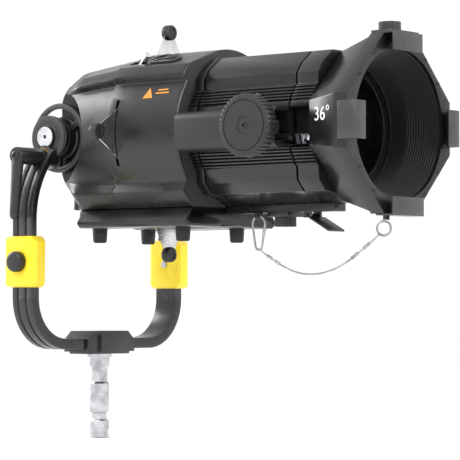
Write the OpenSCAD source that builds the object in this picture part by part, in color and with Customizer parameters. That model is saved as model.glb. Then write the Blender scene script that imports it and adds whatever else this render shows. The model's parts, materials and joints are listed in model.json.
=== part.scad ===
// Ellipsoidal profile spotlight on a height-adjustable yoke with a stand spigot.
// Millimetres. The origin is on the spigot's axis at its shoulder, +X is the way the beam
// leaves, +Z is up. The side with the tilt lever and the focus knob is -Y.

/* [Spigot] */
// Diameter of the stand spigot
spigot_d = 28.6; // [24:0.1:34]
// Length of the spigot below its shoulder
spigot_len = 118; // [95:1:145]
// Diameter of the relieved neck for the stand's grip screw
spigot_neck_d = 23.5; // [19:0.5:23.5]
// Diameter of the shoulder collar
spigot_collar_d = 36; // [34.5:0.5:42]
// Height of the shoulder collar
spigot_collar_h = 8.3; // [6:0.1:12]

/* [Yoke] */
// Height of the tilt axis above the spigot's shoulder
axis_h = 315.8; // [300:0.1:380]
// Distance from the middle plane to the outer face of the yoke arms
yoke_half = 164; // [158:0.5:200]
// Width of the yoke strap along the beam
strap_w = 38; // [34:1:46]
// Thickness of the lower yoke strap
lower_t = 15.5; // [13:0.5:20]
// Thickness of the upper arm strap
upper_t = 10.5; // [9:0.5:14]
// Outer bend radius of the lower yoke
bend_r = 73.5; // [60:0.5:90]
// Inner bend radius of the upper arms, on their centre line
arm_bend_r = 132; // [120:1:140]
// Half length of the cast base block across the beam
block_half = 51; // [42:1:62]
// Height of the cast base block
block_h = 30; // [26:1:40]
// How far the upper arms can be raised
lift = 40; // [20:5:40]
// Height of the middle of the yoke clamps
clamp_z = 136.9; // [130:0.1:145]
// Height of each yoke clamp
clamp_h = 72.3; // [60:0.1:84]
// Width of each yoke clamp along the beam
clamp_w = 60; // [54:1:72]
// Thickness of each yoke clamp across the beam
clamp_t = 25.5; // [23:0.5:32]
// Diameter of the clamp bolts
clamp_bolt_d = 10; // [8:0.5:12]
// Diameter of the round clamp knobs
clamp_knob_d = 29; // [24:1:36]

/* [Tilt pivot] */
// Diameter of the tilt axle bolts
axle_d = 16; // [12:0.5:20]
// Diameter of the arm's end disc
hub_d = 62; // [54:1:70]
// Thickness of the arm's end disc
hub_t = 8.5; // [6:0.5:10]
// Diameter of the bright axle cap
cap_d = 32; // [26:1:38]
// Outer diameter of the open tilt ring
ring_d = 100; // [90:1:112]
// Rim width of the tilt ring
ring_rim = 8; // [6:0.5:11]
// Diameter of the pivot recess in the housing
recess_d = 128; // [120:1:136]
// Distance from the middle plane to the floor of the pivot recess
recess_y = 78; // [74:0.5:82]
// Distance from the middle plane to the outer face of the axle caps
cap_y = 118.6; // [116:0.1:124]
// Drop from the tilt axis to the lock lever's stud
lever_drop = 29; // [25:0.5:32]
// Length of the lock lever's handle
lever_len = 88; // [80:1:95]

/* [Housing] */
// Radius of the housing's rounded sides and top
shell_r = 118.7; // [112:0.1:124]
// Wall thickness of the castings
wall = 3.2; // [2.4:0.1:4]
// Front face of the gate housing, from the tilt axis
house_front_x = 248; // [235:1:265]
// Seam between the rear shell and the gate housing
house_seam_x = 118; // [108:1:124]
// Rear end of the shell
house_rear_x = -4; // [-10:1:-2]
// Radius of the rear opening's edge
rear_edge_r = 92; // [88:0.5:96]
// Radius of the shell over the tilt axis
shoulder_r = 102.7; // [98:0.5:106]
// Depth of the base tray's floor below the optical axis
tray_z = 131; // [128:0.5:138]
// Height of the rubber feet
foot_h = 20; // [14:1:26]
// Distance across the beam between the two rear feet
rear_foot_gap = 106; // [90:1:130]
// Distance across the beam between the two front feet
front_foot_gap = 120; // [90:1:130]

/* [Lamp mount and condenser] */
// Bore of the lamp mount ring
lamp_bore_d = 100; // [90:0.5:104]
// Length of the lamp mount's bore
lamp_bore_len = 8; // [6:0.5:10]
// How far the lamp mount stands out behind the shell
lamp_neck_len = 20; // [16:1:26]
// Outer diameter of the condenser cell
cell_d = 130; // [120:1:132]

/* [Shutters] */
// Plane of the shutters along the beam
shutter_x = 134; // [130:0.5:140]
// Thickness of a shutter blade
blade_t = 1.2; // [0.8:0.1:1.6]
// Distance from the beam's axis to a pulled-out shutter knob
shutter_knob_r = 150; // [146:1:160]
// Diameter of the shutter knobs
shutter_knob_d = 22; // [18:1:26]
// Length of a shutter blade from its knob to its cutting edge
blade_len = 116; // [106:1:118]
// Radius of the gate aperture
gate_r = 50; // [40:1:56]

/* [Lens barrel] */
// Gap at each end of the removable barrel
barrel_gap = 3; // [2:0.5:5]
// Length of the fixed collar behind the barrel
collar_len = 14; // [10:1:20]
// Length of the finned barrel
barrel_len = 156; // [150:1:175]
// Length of the front collar with the side recess
front_collar_len = 34; // [28:1:42]
// Radius of the lens carriage's bore in the barrel
barrel_bore_r = 72; // [69:0.5:74]
// Radial clearance of the lens carriage
slide_gap = 0.35; // [0.3:0.05:0.6]
// Length of the lens carriage
carriage_len = 96; // [80:1:104]
// Travel of the lens carriage each way
focus_travel = 22; // [16:1:22]
// Number of cooling fins in each row
fins = 5; // [3:1:6]
// Depth of the cooling fins
fin_depth = 3; // [2:0.5:4]

/* [Focus drive] */
// Diameter of the focus knob
knob_d = 84; // [70:1:90]
// Thickness of the focus knob
knob_t = 19; // [15:1:24]
// Number of grip notches on the focus knob
knob_notches = 40; // [24:1:48]
// Distance from the tilt axis to the focus knob's axis
knob_x = 400; // [395:1:403]
// Drop from the optical axis to the focus knob's axis
knob_drop = 4; // [0:0.5:6]
// Distance from the middle plane to the focus cover's face
cover_y = 128; // [124:1:134]
// Height of the focus cover
cover_h = 54; // [48:1:56]
// Module of the focus rack and pinion
gear_m = 1.5; // [1.5:0.25:1.5]
// Number of pinion teeth
pinion_teeth = 14; // [14:1:14]

/* [Hood and accessory holder] */
// Front face of the hood, from the tilt axis
hood_len = 76.6; // [66:0.1:90]
// Half size of the octagonal front
oct_half = 119.4; // [112:0.1:126]
// Half length of each straight side of the octagon
oct_side = 35.9; // [30:0.1:42]
// Half size of the octagon at the hood's rear
oct_rear = 99; // [97:0.5:104]
// Thickness of the front rim
rim_t = 22; // [16:1:28]
// Radius of the front opening
mouth_r = 101.2; // [96:0.1:104]
// Radius of the inner baffle ring
throat_r = 83; // [78:0.5:86]
// Number of steps in the front baffle
baffle_steps = 13; // [8:1:18]
// Gap of the accessory slot in front of the rim
slot_gap = 11.5; // [8:0.5:16]
// Width of the side and bottom accessory clips
clip_w = 50; // [40:1:62]
// Diameter of the top lock screw's knob
lock_knob_d = 30; // [24:1:34]

/* [Safety cable] */
// Diameter of the steel safety cable
cable_d = 2.4; // [2:0.1:3]

/* [Hidden] */
eps = 0.01;
side_y = [-1, 1];

// Colours
black = "#1d1d1f";
soft_black = "#2a2b2d";
steel = "#b9bcc0";
bright = "#d9dadc";
yellow = "#f2df10";
brass = "#b08a3c";
lens_blue = "#bcd4dc";

// Clearances
run_gap = 0.05;
boss_gap = 0.15;
move_gap = 0.3;
tongue_gap = 0.4;

// Spigot: where the sections change, below the shoulder
neck_top = 13.2;
neck_bottom = 38;
groove_top = 80.3;
groove_bottom = 92;
bolt_r = 5;
bolt_head_r = 8;
bolt_head_h = 8;

// Yoke
flange_h = 3.3;
block_top = spigot_collar_h + block_h;
strap_z = spigot_collar_h + 4;
arc_c_y = yoke_half - bend_r;
arc_c_z = strap_z + bend_r;
bolt_space = clamp_bolt_d / 2 + 1;
lower_top = clamp_z - bolt_space;
upper_bottom = clamp_z + bolt_space;
upper_y = yoke_half - upper_t / 2;
tongue_w = 26;
tongue_t = 5;
tongue_y = yoke_half - upper_t + tongue_t / 2 + 0.5;
tongue_bottom = clamp_z - lift - clamp_bolt_d / 2 - 8;
tongue_top = upper_bottom + 30;
clamp_y = yoke_half - 5.75;
groove_w = 4;
groove_x = 7.6;
groove_d = 1.6;
arm_bend_end = 50;
arm_bend_z = axis_h - 120;
hub_y = cap_y - 5.6;
hub_inner_y = hub_y - hub_t;

// Tilt lock
stud_r = 5;
seat_y = cap_y + 0.9;
washer_t = 3.5;
lever_y = seat_y + washer_t + move_gap;
lever_hub_r = 12;
handle_y = yoke_half + 3;
handle_t = 11;

// Tilt ring
drum_r = 28;
ring_t = 8;
ring_y = recess_y + 5;
spoke_w = 10;

// Housing section, as points on the +Y side from the top to the bottom
ridge = [[92, 93], [107, 78], [98, 69]];
foot_ledge = [[98, -71], [107, -84], [84, -106]];
neck_z = -104;
tray_edge = [102, -124];
tray_floor = 95;
blend_start_x = 4;
blend_end_x = 46;
shell_mid_x = 6;
lug_r = 30;
lug_t = 8;
seam_step = 2.5;

// Shutters and gate
guide_x = shutter_x - 10;
plate_t = 3;
gate_plate_x = shutter_x + 6;
slot_half = 46;
slot_w = 5;
low_knob_extra = 18;
gobo_slot = [gate_plate_x + plate_t + 1, 18, 60];

// Lens barrel
barrel_x = house_front_x + collar_len + barrel_gap;
barrel_end = barrel_x + barrel_len;
front_collar_x = barrel_end + barrel_gap;
hood_x = front_collar_x + front_collar_len;
hood_front_x = hood_x + hood_len;
rail_half = 13;
rail_t = 11;
nut_plate = 36;
barrel_foot = [12, -102];
side_flat = 95;

// Focus drive
shaft_r = 5;
gear_t = 8;
gear_y = side_flat + 4;
pinion_r = gear_m * pinion_teeth / 2;
rack_half = focus_travel + 8;
rack_z = -knob_drop - pinion_r;
carriage_x = barrel_x + 53;

// Safety cable, from the carabiner to the spring ring, relative to the tilt axis
link_x = 308;
link_y = -15;
cable_route = [
  [309, -15, -163], [313, -15, -166], [320, -15, -170.5], [335, -16, -178.5],
  [348, -16, -185.5], [368, -17, -193.5], [391, -18, -198], [416, -19, -197.5],
  [442, -20, -191.5], [466, -22, -181], [488, -23, -167.5], [506, -24, -155.5],
  [515, -25, -149.5], [519, -25.5, -147]
];

// A shape along the beam: its X is drawn up and its Y is drawn left to right
module along(x) { translate([x, 0, axis_h]) rotate([90, 0, 90]) children(); }

// A revolved shape about the beam's axis
module about_axis(x = 0) { translate([x, 0, axis_h]) rotate([0, 90, 0]) children(); }

// A cylinder along +Y between two places
module y_rod(x, y0, y1, z, r) {
  translate([x, min(y0, y1), z]) rotate([-90, 0, 0]) cylinder(r = r, h = abs(y1 - y0));
}

// The same part on both sides
module both_sides() { children(); mirror([0, 1, 0]) children(); }

// A round rod from one point to another
module rod(a, b, r) {
  d = b - a;
  translate(a) rotate([0, acos(d.z / norm(d)), atan2(d.y, d.x)]) cylinder(r = r, h = norm(d));
}

function mirrored(half) = concat(
  half, [for (i = [len(half) - 2:-1:1]) [-half[i].x, half[i].y]]
);
function both_edges(edge) = concat(edge, [for (i = [len(edge) - 1:-1:0]) [edge[i].x, -edge[i].y]]);
function arc(r, a0, a1, n) = [for (i = [0:n]) let (a = a0 + (a1 - a0) * i / n) r * [cos(a), sin(a)]];
function scaled(points, k) = [for (p = points) k * p];
function octagon(half, side) = [
  [side, half], [half, side], [half, -side], [side, -half],
  [-side, -half], [-half, -side], [-half, side], [-side, half]
];

// A skin over rings of equal length: each ring is [x, points of (y, z)]
module loft(rings) {
  n = len(rings[0][1]);
  last = len(rings) - 1;
  points = [for (ring = rings, p = ring[1]) [ring[0], p.x, p.y + axis_h]];
  sides = [for (k = [0:last - 1], i = [0:n - 1]) let (j = (i + 1) % n)
    each [[k * n + i, k * n + j, (k + 1) * n + i], [k * n + j, (k + 1) * n + j, (k + 1) * n + i]]];
  ends = [[for (i = [n - 1:-1:0]) i], [for (i = [0:n - 1]) last * n + i]];
  polyhedron(points, concat(sides, ends));
}

// ---- Spigot and yoke ----

module spigot() color(steel) difference() {
  rotate_extrude() polygon([
    [0, spigot_collar_h], [spigot_collar_d / 2 - 1.5, spigot_collar_h],
    [spigot_collar_d / 2, spigot_collar_h - 1.5], [spigot_collar_d / 2, 1], [spigot_collar_d / 2 - 1, 0],
    [spigot_d / 2, 0], [spigot_d / 2, -neck_top],
    [spigot_neck_d / 2, -neck_top - 2], [spigot_neck_d / 2, -neck_bottom + 2],
    [spigot_d / 2, -neck_bottom], [spigot_d / 2, -groove_top],
    [spigot_d / 2 - 3, -groove_top - 1.5], [spigot_d / 2 - 3, -groove_bottom + 1.5],
    [spigot_d / 2, -groove_bottom], [spigot_d / 2, -spigot_len + 2], [spigot_d / 2 - 2, -spigot_len],
    [0, -spigot_len]
  ]);
  translate([0, 0, -25]) cylinder(r = bolt_r, h = 40);
}

module spigot_bolt() color(soft_black) difference() {
  union() {
    translate([0, 0, -24]) cylinder(r = bolt_r, h = block_top + 24 - bolt_head_h);
    translate([0, 0, block_top - bolt_head_h]) cylinder(r = bolt_head_r, h = bolt_head_h - 1);
  }
  translate([0, 0, block_top - 5]) cylinder(r = 4, h = 10, $fn = 6);
}

module yoke_base_block() color(soft_black) difference() {
  union() {
    translate([-strap_w / 2 - 4, 0, 0]) rotate([90, 0, 90]) linear_extrude(strap_w + 8) polygon([
      [-block_half, spigot_collar_h], [-block_half, block_top - 12], [-block_half + 5, block_top - 8],
      [-block_half + 14, block_top], [block_half - 14, block_top], [block_half - 5, block_top - 8],
      [block_half, block_top - 12], [block_half, spigot_collar_h]
    ]);
    translate([strap_w / 2, -27, spigot_collar_h]) cube([9, 54, block_h - 5]);
    translate([-strap_w / 2 - 2, 9 - block_half, spigot_collar_h - flange_h])
      cube([strap_w + 4, 2 * block_half - 18, flange_h + eps]);
  }
  translate([-strap_w / 2, -block_half - 1, strap_z]) cube([strap_w, 2 * block_half + 2, lower_t]);
  translate([0, 0, -1]) cylinder(r = spigot_collar_d / 2, h = spigot_collar_h + 1);
  cylinder(r = bolt_r, h = block_top + 1);
  translate([0, 0, block_top - bolt_head_h]) cylinder(r = bolt_head_r, h = bolt_head_h + 1);
}

// Strap section: X is its width, Y runs outwards from 0 to its thickness
module strap_section(t) difference() {
  translate([-strap_w / 2, 0]) square([strap_w, t]);
  for (x = [-groove_x, groove_x]) translate([x - groove_w / 2, t - groove_d]) square([groove_w, groove_d + 1]);
}

// The U of the lower yoke at some depth below its outer face, from one end to the other
function u_path(depth, top) = let (half = concat(
  [[yoke_half - depth, top]],
  [for (a = [0:-7.5:-90]) [arc_c_y, arc_c_z] + (bend_r - depth) * [cos(a), sin(a)]]
)) concat(half, [for (i = [len(half) - 1:-1:0]) [-half[i].x, half[i].y]]);
function backwards(points) = [for (i = [len(points) - 1:-1:0]) points[i]];
module u_strap(x0, width, outer, inner, top) translate([x0, 0, 0]) rotate([90, 0, 90]) linear_extrude(width)
  polygon(concat(u_path(outer, top), backwards(u_path(inner, top))));

module lower_yoke() color(soft_black) difference() {
  u_strap(-strap_w / 2, strap_w, 0, lower_t, lower_top);
  for (x = [-groove_x, groove_x]) u_strap(x - groove_w / 2, groove_w, -1, groove_d, lower_top + 1);
  both_sides() translate([-tongue_w / 2 - tongue_gap, tongue_y - tongue_t / 2 - tongue_gap, tongue_bottom - 3])
    cube([tongue_w + 2 * tongue_gap, tongue_t + 2 * tongue_gap, lower_top]);
  cylinder(r = bolt_r, h = block_top);
}

module clamp_body() color(yellow) difference() {
  hull() {
    translate([-clamp_w / 2, clamp_y - clamp_t / 2 + 3, clamp_z - clamp_h / 2 + 8])
      cube([clamp_w, clamp_t - 9, clamp_h - 16]);
    translate([-clamp_w / 2 + 5, clamp_y - clamp_t / 2, clamp_z - clamp_h / 2 + 3])
      cube([clamp_w - 10, clamp_t, clamp_h - 6]);
    translate([-clamp_w / 2 + 8, clamp_y - clamp_t / 2 + 3, clamp_z - clamp_h / 2])
      cube([clamp_w - 16, clamp_t - 8, clamp_h]);
  }
  translate([-strap_w / 2, yoke_half - lower_t, clamp_z - clamp_h])
    cube([strap_w, lower_t, clamp_h - bolt_space]);
  translate([-strap_w / 2 - move_gap, yoke_half - upper_t - move_gap, clamp_z - bolt_space - eps])
    cube([strap_w + 2 * move_gap, upper_t + 2 * move_gap, clamp_h]);
  y_rod(0, clamp_y - clamp_t, clamp_y + clamp_t, clamp_z, clamp_bolt_d / 2);
}
module clamp_far() clamp_body();
module clamp_near() mirror([0, 1, 0]) clamp_body();

module clamp_bolts() color(steel) both_sides() {
  y_rod(0, clamp_y - clamp_t / 2 - 1.5, clamp_y + clamp_t / 2 + 11, clamp_z, clamp_bolt_d / 2);
}

module clamp_knob() color(black) difference() {
  union() {
    y_rod(0, clamp_y + clamp_t / 2 + move_gap, clamp_y + clamp_t / 2 + 11.5, clamp_z, clamp_knob_d / 2);
    y_rod(0, clamp_y + clamp_t / 2 + 11.4, clamp_y + clamp_t / 2 + 13, clamp_z, clamp_knob_d / 2 - 1.5);
  }
  y_rod(0, clamp_y, clamp_y + clamp_t / 2 + 11.2, clamp_z, clamp_bolt_d / 2 + run_gap);
}
module clamp_knob_far() clamp_knob();
module clamp_knob_near() mirror([0, 1, 0]) clamp_knob();

// The arm rises straight out of its clamp, bends inwards and ends in the disc on the tilt axle
module upper_arm() {
  difference() {
    union() {
      translate([0, yoke_half - upper_t, upper_bottom])
        linear_extrude(arm_bend_z - upper_bottom + eps) strap_section(upper_t);
      translate([0, upper_y - arm_bend_r, arm_bend_z]) rotate([0, -90, 0]) mirror([0, 0, 1])
        rotate([0, 0, 90]) rotate_extrude(angle = -arm_bend_end)
          translate([arm_bend_r - upper_t / 2, 0]) rotate(90) mirror([0, 1]) strap_section(upper_t);
      y_rod(0, hub_inner_y, hub_y, axis_h, hub_d / 2);
      y_rod(0, hub_inner_y, seat_y, axis_h - lever_drop, 16);
      translate([-strap_w / 2, hub_inner_y, axis_h - hub_d / 2 + 2]) cube([strap_w, hub_t, hub_d / 2]);
    }
    translate([-tongue_w / 2, tongue_y - tongue_t / 2, upper_bottom - 1])
      cube([tongue_w, tongue_t, tongue_top - upper_bottom + 1]);
    y_rod(0, hub_inner_y - 1, hub_y + 1, axis_h, axle_d / 2);
    y_rod(0, hub_y, seat_y + 1, axis_h, cap_d / 2 + run_gap);
    y_rod(0, hub_inner_y - 40, hub_inner_y, axis_h - lever_drop, 40);
    y_rod(0, seat_y, seat_y + 40, axis_h - lever_drop, lever_hub_r + 1.5);
    translate([0, 0, axis_h]) for (a = [0:15:345]) rotate([0, a, 0])
      translate([-1, hub_y - 1.2, axle_d / 2 + 10]) cube([2, 3, hub_d / 2]);
  }
}
module upper_arm_far() color(soft_black) difference() {
  upper_arm();
  y_rod(0, hub_inner_y - 1, seat_y + 1, axis_h - lever_drop, stud_r + run_gap);
}
module upper_arm_near() mirror([0, 1, 0]) upper_arm_far();

module arm_tongues() color(steel) both_sides() difference() {
  translate([-tongue_w / 2, tongue_y - tongue_t / 2, tongue_bottom])
    cube([tongue_w, tongue_t, tongue_top - tongue_bottom]);
  translate([-clamp_bolt_d / 2 - 1, tongue_y - tongue_t, clamp_z - lift - clamp_bolt_d / 2 - 1])
    cube([clamp_bolt_d + 2, 2 * tongue_t, lift + clamp_bolt_d + 2]);
}

module axle_bolts() color(steel) both_sides() {
  y_rod(0, recess_y - lug_t - 3, hub_y, axis_h, axle_d / 2);
  y_rod(0, recess_y - lug_t - 3.8, recess_y - lug_t - move_gap, axis_h, axle_d / 2 + 5);
}

module axle_caps() color(bright) both_sides() difference() {
  union() {
    y_rod(0, hub_y, cap_y - 1, axis_h, cap_d / 2);
    y_rod(0, cap_y - 1 - eps, cap_y, axis_h, cap_d / 2 - 1);
  }
  y_rod(0, cap_y - 3, cap_y + 1, axis_h, 3);
}

// ---- Tilt lock ----

module brake_washer() color(brass) difference() {
  y_rod(0, -seat_y - washer_t, -seat_y, axis_h - lever_drop, lever_hub_r + 1);
  y_rod(0, -seat_y - washer_t - 1, -seat_y + 1, axis_h - lever_drop, stud_r + move_gap);
}

lever_screw_r = 6.5;
module tilt_lever() color(soft_black) difference() {
  union() {
    y_rod(0, -handle_y, -lever_y, axis_h - lever_drop, lever_hub_r);
    y_rod(0, -lever_y - eps, -hub_inner_y - 1.5, axis_h - lever_drop, stud_r);
    hull() {
      y_rod(0, -handle_y - handle_t, -handle_y, axis_h - lever_drop, lever_hub_r - 0.5);
      y_rod(0, -handle_y - handle_t - 3, -handle_y - 3, axis_h - lever_drop - lever_len * 0.35, 8.5);
    }
    hull() {
      y_rod(0, -handle_y - handle_t - 3, -handle_y - 3, axis_h - lever_drop - lever_len * 0.35, 8.5);
      y_rod(0, -handle_y - handle_t - 11, -handle_y - 12, axis_h - lever_drop - lever_len, 6.5);
    }
  }
  y_rod(0, -handle_y - handle_t - 20, -handle_y - handle_t, axis_h - lever_drop, lever_screw_r + run_gap);
}

module lever_screw() color(black) difference() {
  y_rod(0, -handle_y - handle_t - 2.5, -handle_y - handle_t, axis_h - lever_drop, lever_screw_r);
  translate([-5, -handle_y - handle_t - 4, axis_h - lever_drop - 0.8]) cube([10, 2.5, 1.6]);
}

module tilt_rings() color(soft_black) both_sides() difference() {
  union() {
    y_rod(0, recess_y, hub_inner_y - move_gap, axis_h, drum_r);
    difference() {
      y_rod(0, ring_y, ring_y + ring_t, axis_h, ring_d / 2);
      y_rod(0, ring_y - 1, ring_y + ring_t + 1, axis_h, ring_d / 2 - ring_rim);
    }
    translate([0, 0, axis_h]) for (a = [60, 180, 300]) rotate([0, a, 0])
      translate([-spoke_w / 2, ring_y + 1, drum_r - 2]) cube([spoke_w, ring_t - 2, ring_d / 2 - drum_r - 2]);
  }
  y_rod(0, recess_y - 1, hub_y, axis_h, axle_d / 2 + run_gap);
}

// ---- Housing ----

house_half = concat(
  arc(shell_r, 90, 66, 4), ridge, arc(shell_r + 1, 33, -33, 11), foot_ledge,
  [tray_edge, [tray_floor, -tray_z], [0, -tray_z]]
);
house_section = mirrored(house_half);

function shell_radius(x) = x < shell_mid_x
  ? rear_edge_r + (shoulder_r - rear_edge_r) * sin(90 * (x - house_rear_x) / (shell_mid_x - house_rear_x))
  : shoulder_r + (shell_r - seam_step - shoulder_r) * (x - shell_mid_x) / (house_seam_x - shell_mid_x);
function blend(x) = let (t = min(1, max(0, (x - blend_start_x) / (blend_end_x - blend_start_x))))
  t * t * (3 - 2 * t);
// The taper fades out below the axis, so that the tray keeps its depth
function taper(r, z) = let (k = r / shell_r) k + (1 - k) * min(1, max(0, z / neck_z));
function shell_ring(x, inset) = let (r = shell_radius(x), b = blend(x), k = (r - inset) / r)
  [x, [for (p = house_section) k * ((1 - b) * r * p / norm(p) + b * taper(r, p.y) * p)]];
shell_stations = concat(
  [for (i = [0:3]) house_rear_x + (shell_mid_x - house_rear_x) * i / 4],
  [for (i = [0:6]) shell_mid_x + (blend_end_x - shell_mid_x) * i / 6],
  [house_seam_x]
);

module shell_solid() loft([for (x = shell_stations) shell_ring(x, 0)]);
module shell_cavity() loft([for (i = [0:len(shell_stations) - 1]) let (
  x = shell_stations[i], past = i == 0 ? -1 : i == len(shell_stations) - 1 ? 1 : 0
) [x + past, shell_ring(x, wall)[1]]]);
module gate_solid(inset, x0, x1)
  along(x0) linear_extrude(x1 - x0) polygon(scaled(house_section, (shell_r - inset) / shell_r));
module above_neck() translate([-500, -500, axis_h + neck_z]) cube([1500, 1000, 1000]);
module below_neck() translate([-500, -500, axis_h + neck_z - 1000]) cube([1500, 1000, 1000]);
module recess_cut(r, y) both_sides() y_rod(0, y, y + 200, axis_h, r);

module rear_shell() color(black) difference() {
  intersection() { shell_solid(); above_neck(); }
  difference() {
    shell_cavity();
    recess_cut(recess_d / 2 + wall, recess_y - wall);
    both_sides() y_rod(0, recess_y - lug_t, recess_y, axis_h, lug_r);
  }
  recess_cut(recess_d / 2, recess_y);
  both_sides() y_rod(0, recess_y - lug_t - 1, recess_y + 1, axis_h, axle_d / 2 + boss_gap);
}

// Cut for the four shutter blades
module shutter_slots() {
  translate([shutter_x - slot_w / 2, -slot_half, axis_h - 200]) cube([slot_w, 2 * slot_half, 400]);
  translate([shutter_x - slot_w / 2, -200, axis_h - slot_half]) cube([slot_w, 400, 2 * slot_half]);
}

// Places children on the near flank beside the top, with Z out of the surface
flank_mid = (shell_r * [cos(66), sin(66)] + ridge[0]) / 2;
flank_tilt = atan2(shell_r * sin(66) - ridge[0].y, ridge[0].x - shell_r * cos(66));
module on_flank(x) translate([x, -flank_mid.x, axis_h + flank_mid.y]) rotate([flank_tilt, 0, 0]) children();
pin_slot_x = shutter_x - 10;
pin_slot_len = 26;

module gate_housing() color(black) difference() {
  intersection() { gate_solid(0, house_seam_x, house_front_x); above_neck(); }
  gate_solid(wall, house_seam_x - 1, house_front_x + 1);
  shutter_slots();
  translate([gobo_slot[0], -gobo_slot[2], axis_h + 60]) cube([gobo_slot[1], 2 * gobo_slot[2], 100]);
  on_flank(pin_slot_x) translate([0, -7, -30]) cube([pin_slot_len, 14, 60]);
}

// The tray is the housing's section below the neck, with a ramp and a taper at its rear
tray_top = tray_edge.x + 6;
module tray_solid(inset, front_x) intersection() {
  along(blend_start_x) linear_extrude(front_x - blend_start_x) intersection() {
    polygon(scaled(house_section, (shell_r - inset) / shell_r));
    translate([-200, neck_z - 200]) square([400, 200]);
  }
  translate([0, 200, axis_h]) rotate([90, 0, 0]) linear_extrude(400) polygon([
    [blend_start_x + 2 * inset, neck_z + 1], [blend_start_x + 2 * inset, neck_z], [blend_end_x + inset, inset - tray_z],
    [front_x + 1, inset - tray_z], [front_x + 1, neck_z + 1]
  ]);
  translate([0, 0, axis_h - 200]) linear_extrude(200) polygon(both_edges([
    [blend_start_x + 2 * inset, 14], [blend_start_x + 12 + inset, 44 - inset], [blend_start_x + 26 + inset, 70 - inset],
    [blend_end_x + 4 + inset, tray_top - inset], [front_x + 1, tray_top - inset]
  ]));
}
module base_tray() color(soft_black) difference() {
  tray_solid(0, house_front_x);
  tray_solid(wall, house_front_x + 1);
  shutter_slots();
}

module front_bulkhead() color(black) difference() {
  gate_solid(wall, house_front_x - 5, house_front_x);
  about_axis(house_front_x - 6) cylinder(r = barrel_bore_r, h = 8);
}

module feet() color(black) for (spot = [[48, rear_foot_gap], [209, front_foot_gap]], s = side_y)
  translate([spot.x, s * spot.y / 2, axis_h - tray_z - foot_h]) cylinder(r1 = 9.5, r2 = 11, h = foot_h);

// ---- Lamp mount and condenser ----

lamp_r = lamp_bore_d / 2;
neck_r = lamp_r + 7;
// The plate stays inside the flat bottom of the shell's rear edge
lamp_plate_r = (rear_edge_r - wall) * cos(atan2(tray_floor, tray_z) / 2) - slide_gap;
lock_x = house_rear_x - lamp_neck_len + lamp_bore_len / 2;
module lamp_mount_ring() color(soft_black) difference() {
  about_axis(house_rear_x) rotate_extrude() polygon([
    [lamp_r, -lamp_neck_len], [neck_r, -lamp_neck_len], [neck_r, -1], [neck_r + 3, 0], [lamp_plate_r, 0],
    [lamp_plate_r, 4], [lamp_r, 4], [lamp_r, lamp_bore_len + 4 - lamp_neck_len],
    [lamp_r + 3.5, lamp_bore_len + 4 - lamp_neck_len], [lamp_r + 3.5, lamp_bore_len - lamp_neck_len],
    [lamp_r, lamp_bore_len - lamp_neck_len]
  ]);
  about_axis(house_rear_x - lamp_neck_len - 1) for (a = [60, 180, 300]) rotate([0, 0, a])
    translate([0, -9, 0]) cube([lamp_r + 3.5, 18, lamp_bore_len + 2]);
  translate([lock_x, 0, axis_h]) cylinder(r = 2.5 + run_gap, h = 90);
  recess_cut(recess_d / 2 + wall, recess_y - wall);
  recess_cut(lug_r + 1, recess_y - lug_t - 5);
}

module lamp_lock() color(steel) translate([lock_x, 0, axis_h]) {
  translate([0, 0, lamp_r + 0.5]) cylinder(r = 2.5, h = neck_r - lamp_r + 1);
  translate([0, 0, neck_r + 1]) cylinder(r = 3.6, h = 7);
}

cell_r = cell_d / 2;
lens_r = cell_r - wall;
cell_rear = house_rear_x + 8;
module condenser_cell() color(soft_black) about_axis() rotate_extrude() polygon([
  [lens_r - 3, cell_rear], [cell_r, cell_rear], [cell_r, guide_x], [lens_r, guide_x],
  [lens_r, cell_rear + 4], [lens_r - 3, cell_rear + 4]
]);

// A lens with a flat face at its own zero and one domed face
module dome_lens(r, edge, sphere_r) intersection() {
  cylinder(r = r, h = sphere_r);
  translate([0, 0, edge - sqrt(sphere_r * sphere_r - r * r)]) sphere(r = sphere_r);
}

module condenser_lenses() color(lens_blue, 0.5) {
  about_axis(cell_rear + 4) dome_lens(lens_r, 4, 90);
  about_axis(cell_rear + 78) mirror([0, 0, 1]) dome_lens(lens_r, 4, 90);
}

// ---- Shutters ----

module inner_plate(x, hole) difference() {
  intersection() { gate_solid(wall, x, x + plate_t); above_neck(); }
  about_axis(x - 1) cylinder(r = hole, h = plate_t + 2);
}
module shutter_guide() color(soft_black) inner_plate(guide_x, lens_r - 3);
module gate_plate() color(steel) difference() {
  inner_plate(gate_plate_x, gate_r);
  on_flank(pin_slot_x) translate([-1, -8, -26]) cube([pin_slot_len + 2, 16, 60]);
}

// A blade whose knob is this far out along +Y of its own plane
blade_half = slot_half - 4;
module blade(reach) linear_extrude(blade_t) polygon([
  [-6.5, reach], [6.5, reach], [30, reach - 38], [blade_half, reach - 54], [blade_half, reach - blade_len],
  [-blade_half, reach - blade_len], [-blade_half, reach - 54], [-30, reach - 38]
]);
module place_blade(turn, layer) translate([shutter_x + layer, 0, axis_h]) rotate([turn, 0, 0])
  rotate([90, 0, 90]) children();
module blade_knob(reach) difference() {
  translate([0, reach, -5.5]) cylinder(d = shutter_knob_d, h = 12);
  translate([-shutter_knob_d / 2 - 1, reach - 20, 0]) cube([shutter_knob_d + 2, 20, blade_t]);
}
upper_layer = -blade_t - 0.4;
lower_layer = 0.4;
low_reach = shutter_knob_r + low_knob_extra;
module shutter_top() color(bright) place_blade(0, upper_layer) blade(shutter_knob_r);
module shutter_bottom() color(bright) place_blade(180, upper_layer) blade(low_reach);
module shutter_near() color(bright) place_blade(90, lower_layer) blade(shutter_knob_r + 8);
module shutter_far() color(bright) place_blade(-90, lower_layer) blade(shutter_knob_r + 8);
module shutter_knob_top() color(black) place_blade(0, upper_layer) blade_knob(shutter_knob_r);
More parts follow.
